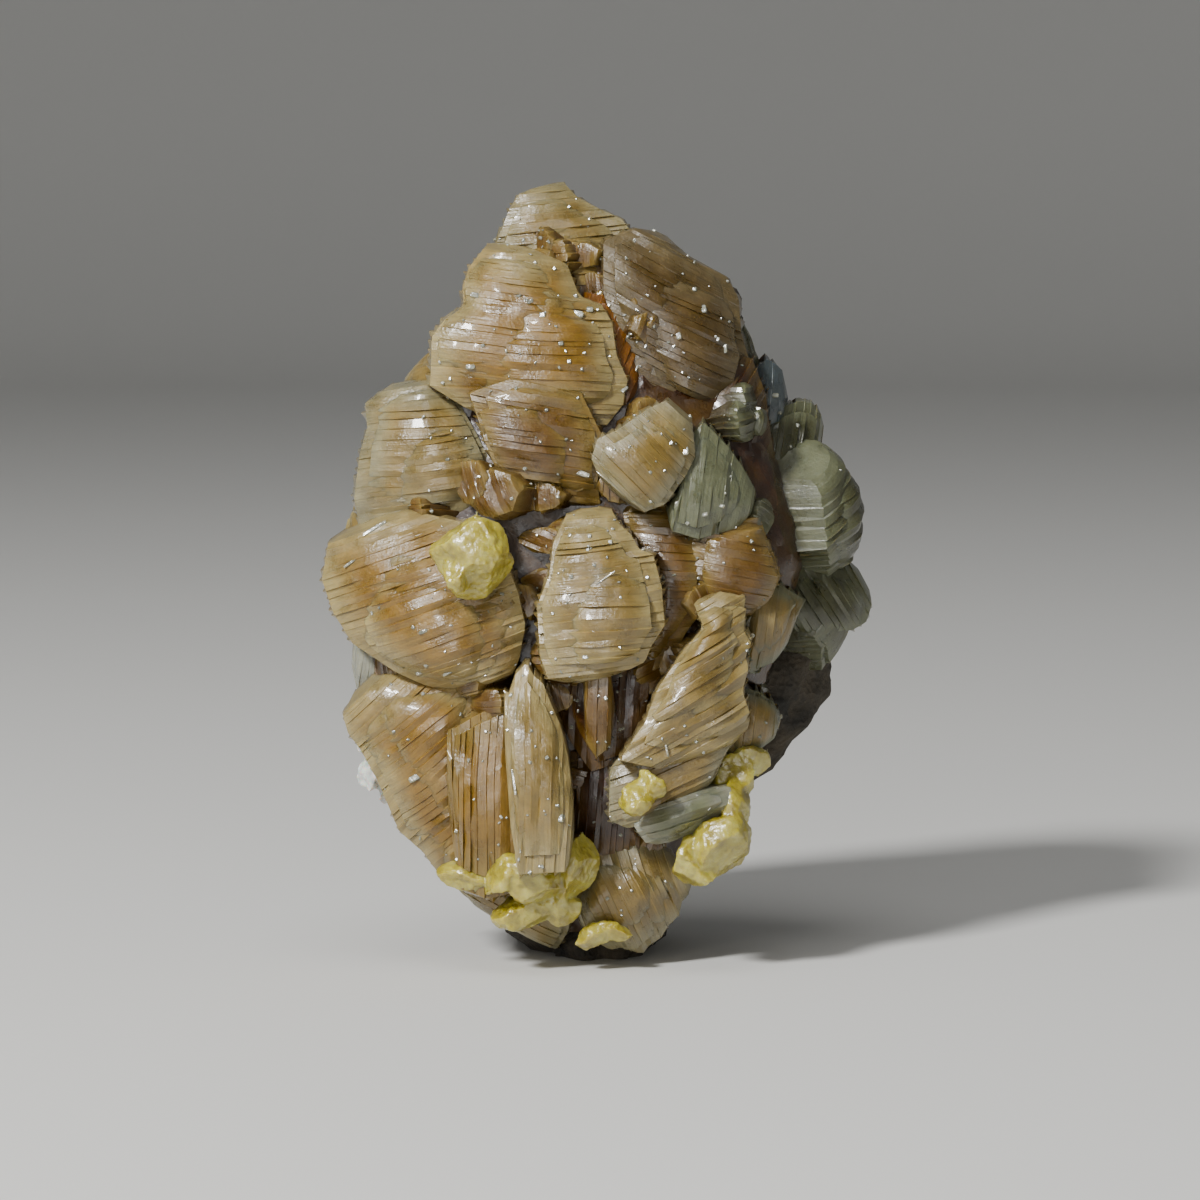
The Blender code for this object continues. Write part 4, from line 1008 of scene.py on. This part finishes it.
def setLights():
    for name, (side, height, away, size, power) in studio["lamps"].items():
        lamp = bpy.data.lights.new(name, "AREA")
        lamp.shape = "DISK"
        lamp.size, lamp.energy = size, power
        aimed(name, lamp, Vector(studio["lampAim"]), direction(side, height), away)
    world = bpy.data.worlds.new("softRoom")
    bpy.context.scene.world = world
    world.use_nodes = True
    background = world.node_tree.nodes["Background"]
    background.inputs[0].default_value = (*studio["worldColour"], 1.0)
    background.inputs[1].default_value = studio["world"]


def setFloor():
    deselectAll()
    bpy.ops.mesh.primitive_circle_add(vertices=studio["floorSides"], radius=studio["floorRadius"],
                                      fill_type="NGON")
    floor = bpy.context.object
    floor.name = "paleFloor"
    bpy.ops.object.mode_set(mode="EDIT")
    bpy.ops.mesh.select_mode(type="EDGE")
    bpy.ops.mesh.select_all(action="SELECT")
    bpy.ops.mesh.region_to_loop()
    wide, radius, level = studio["wallRadius"] - studio["floorRadius"], studio["floorRadius"], 0.0
    for k in range(1, studio["wallSteps"] + 1):
        a = math.pi / 2 * k / studio["wallSteps"]
        nextRadius = studio["floorRadius"] + wide * math.sin(a)
        nextLevel = studio["wallTop"] * (1 - math.cos(a))
        bpy.ops.mesh.extrude_region_move(TRANSFORM_OT_translate={"value": (0, 0, nextLevel - level)})
        bpy.ops.transform.resize(value=(nextRadius / radius, nextRadius / radius, 1))
        radius, level = nextRadius, nextLevel
    bpy.ops.object.mode_set(mode="OBJECT")
    bpy.ops.object.shade_smooth_by_angle(angle=math.radians(studio["smoothBelow"]))
    # Matt pale paint, rolled on: it hardly shines
    material, tree = newMaterial("paleFloorPaint")
    shader = addNode(tree, "ShaderNodeBsdfPrincipled", {
        "Base Color": (*linearColour(studio["floorColour"]), 1.0), "Roughness": 0.9,
        "Specular IOR Level": 0.1})
    addNode(tree, "ShaderNodeOutputMaterial", {}, {"Surface": shader.outputs[0]})
    floor.data.materials.append(material)


# Build

smoothBelow = 20      # degrees between faces, under which an edge is shaded smooth
barite = bariteMaterial("crestedBarite", scatter=0.7, roughness=0.24)
clearBarite = bariteMaterial("glassyBarite", scatter=2.2, roughness=0.06)
bariteNode = "barite_crests"
crestPieces = []
seed = 0
for groupName, crests in crestGroups.items():
    bodies = []
    for crestName, crest in crests.items():
        seed += 1
        for k, layer in enumerate(layered(crest, seed)):
            bodies.append(ringBody(crestName, slabRings(layer, seed + layerForm["seedStep"] * k)))
    crestPieces.append(finished(joined(groupName, bodies), barite, "barite", bariteNode))
    print(groupName, len(crestPieces[-1].data.polygons), "faces")

fillers = [ringBody(f"filler{k}", slabRings(crest, fillerForm["firstRingSeed"] + k))
           for k, crest in enumerate(fillerCrests())]
crestPieces.append(finished(joined("fillerCrystals", fillers), barite, "barite", bariteNode))
crust = ringBody("crust", ovalRings(crustForm, crustRoughness, crustTintAndGapShade))
finished(crust, barite, "barite", bariteNode)
print("filler crystals and crust done")

rock = ringBody("matrixRock", ovalRings(rockForm, rockRoughness, lambda point: palette["umber"]))
finished(rock, rockMaterial(), "matrix", "matrix_rock")
print("rock done")

sulphur, chalk = sulphurMaterial(), chalkMaterial()
for name, (node, firstSeed, chunks) in clusterForm["clusters"].items():
    material, slot = (chalk, "white_chip") if node == "white_chip" else (sulphur, "sulphur")
    finished(cluster(name, firstSeed, chunks), material, slot, node)
print("sulphur and white chip done")

halfway = (direction(*studio["lamps"]["key"][:2]) + direction(0, studio["cameraRaise"])).normalized()
glints = setCopies("glintCrystals", tabularCrystal("tablet"), glintPlaces(crestPieces, halfway),
                   palette["frost"])
finished(glints, clearBarite, "barite", bariteNode)
print("glints done")

for piece in bpy.data.objects:
    if piece.type == "MESH" and piece.get("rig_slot"):
        deselectAll()
        piece.select_set(True)
        bpy.context.view_layer.objects.active = piece
        bpy.ops.object.shade_smooth_by_angle(angle=math.radians(smoothBelow))

setCamera()
setLights()
setFloor()
print("studio done")
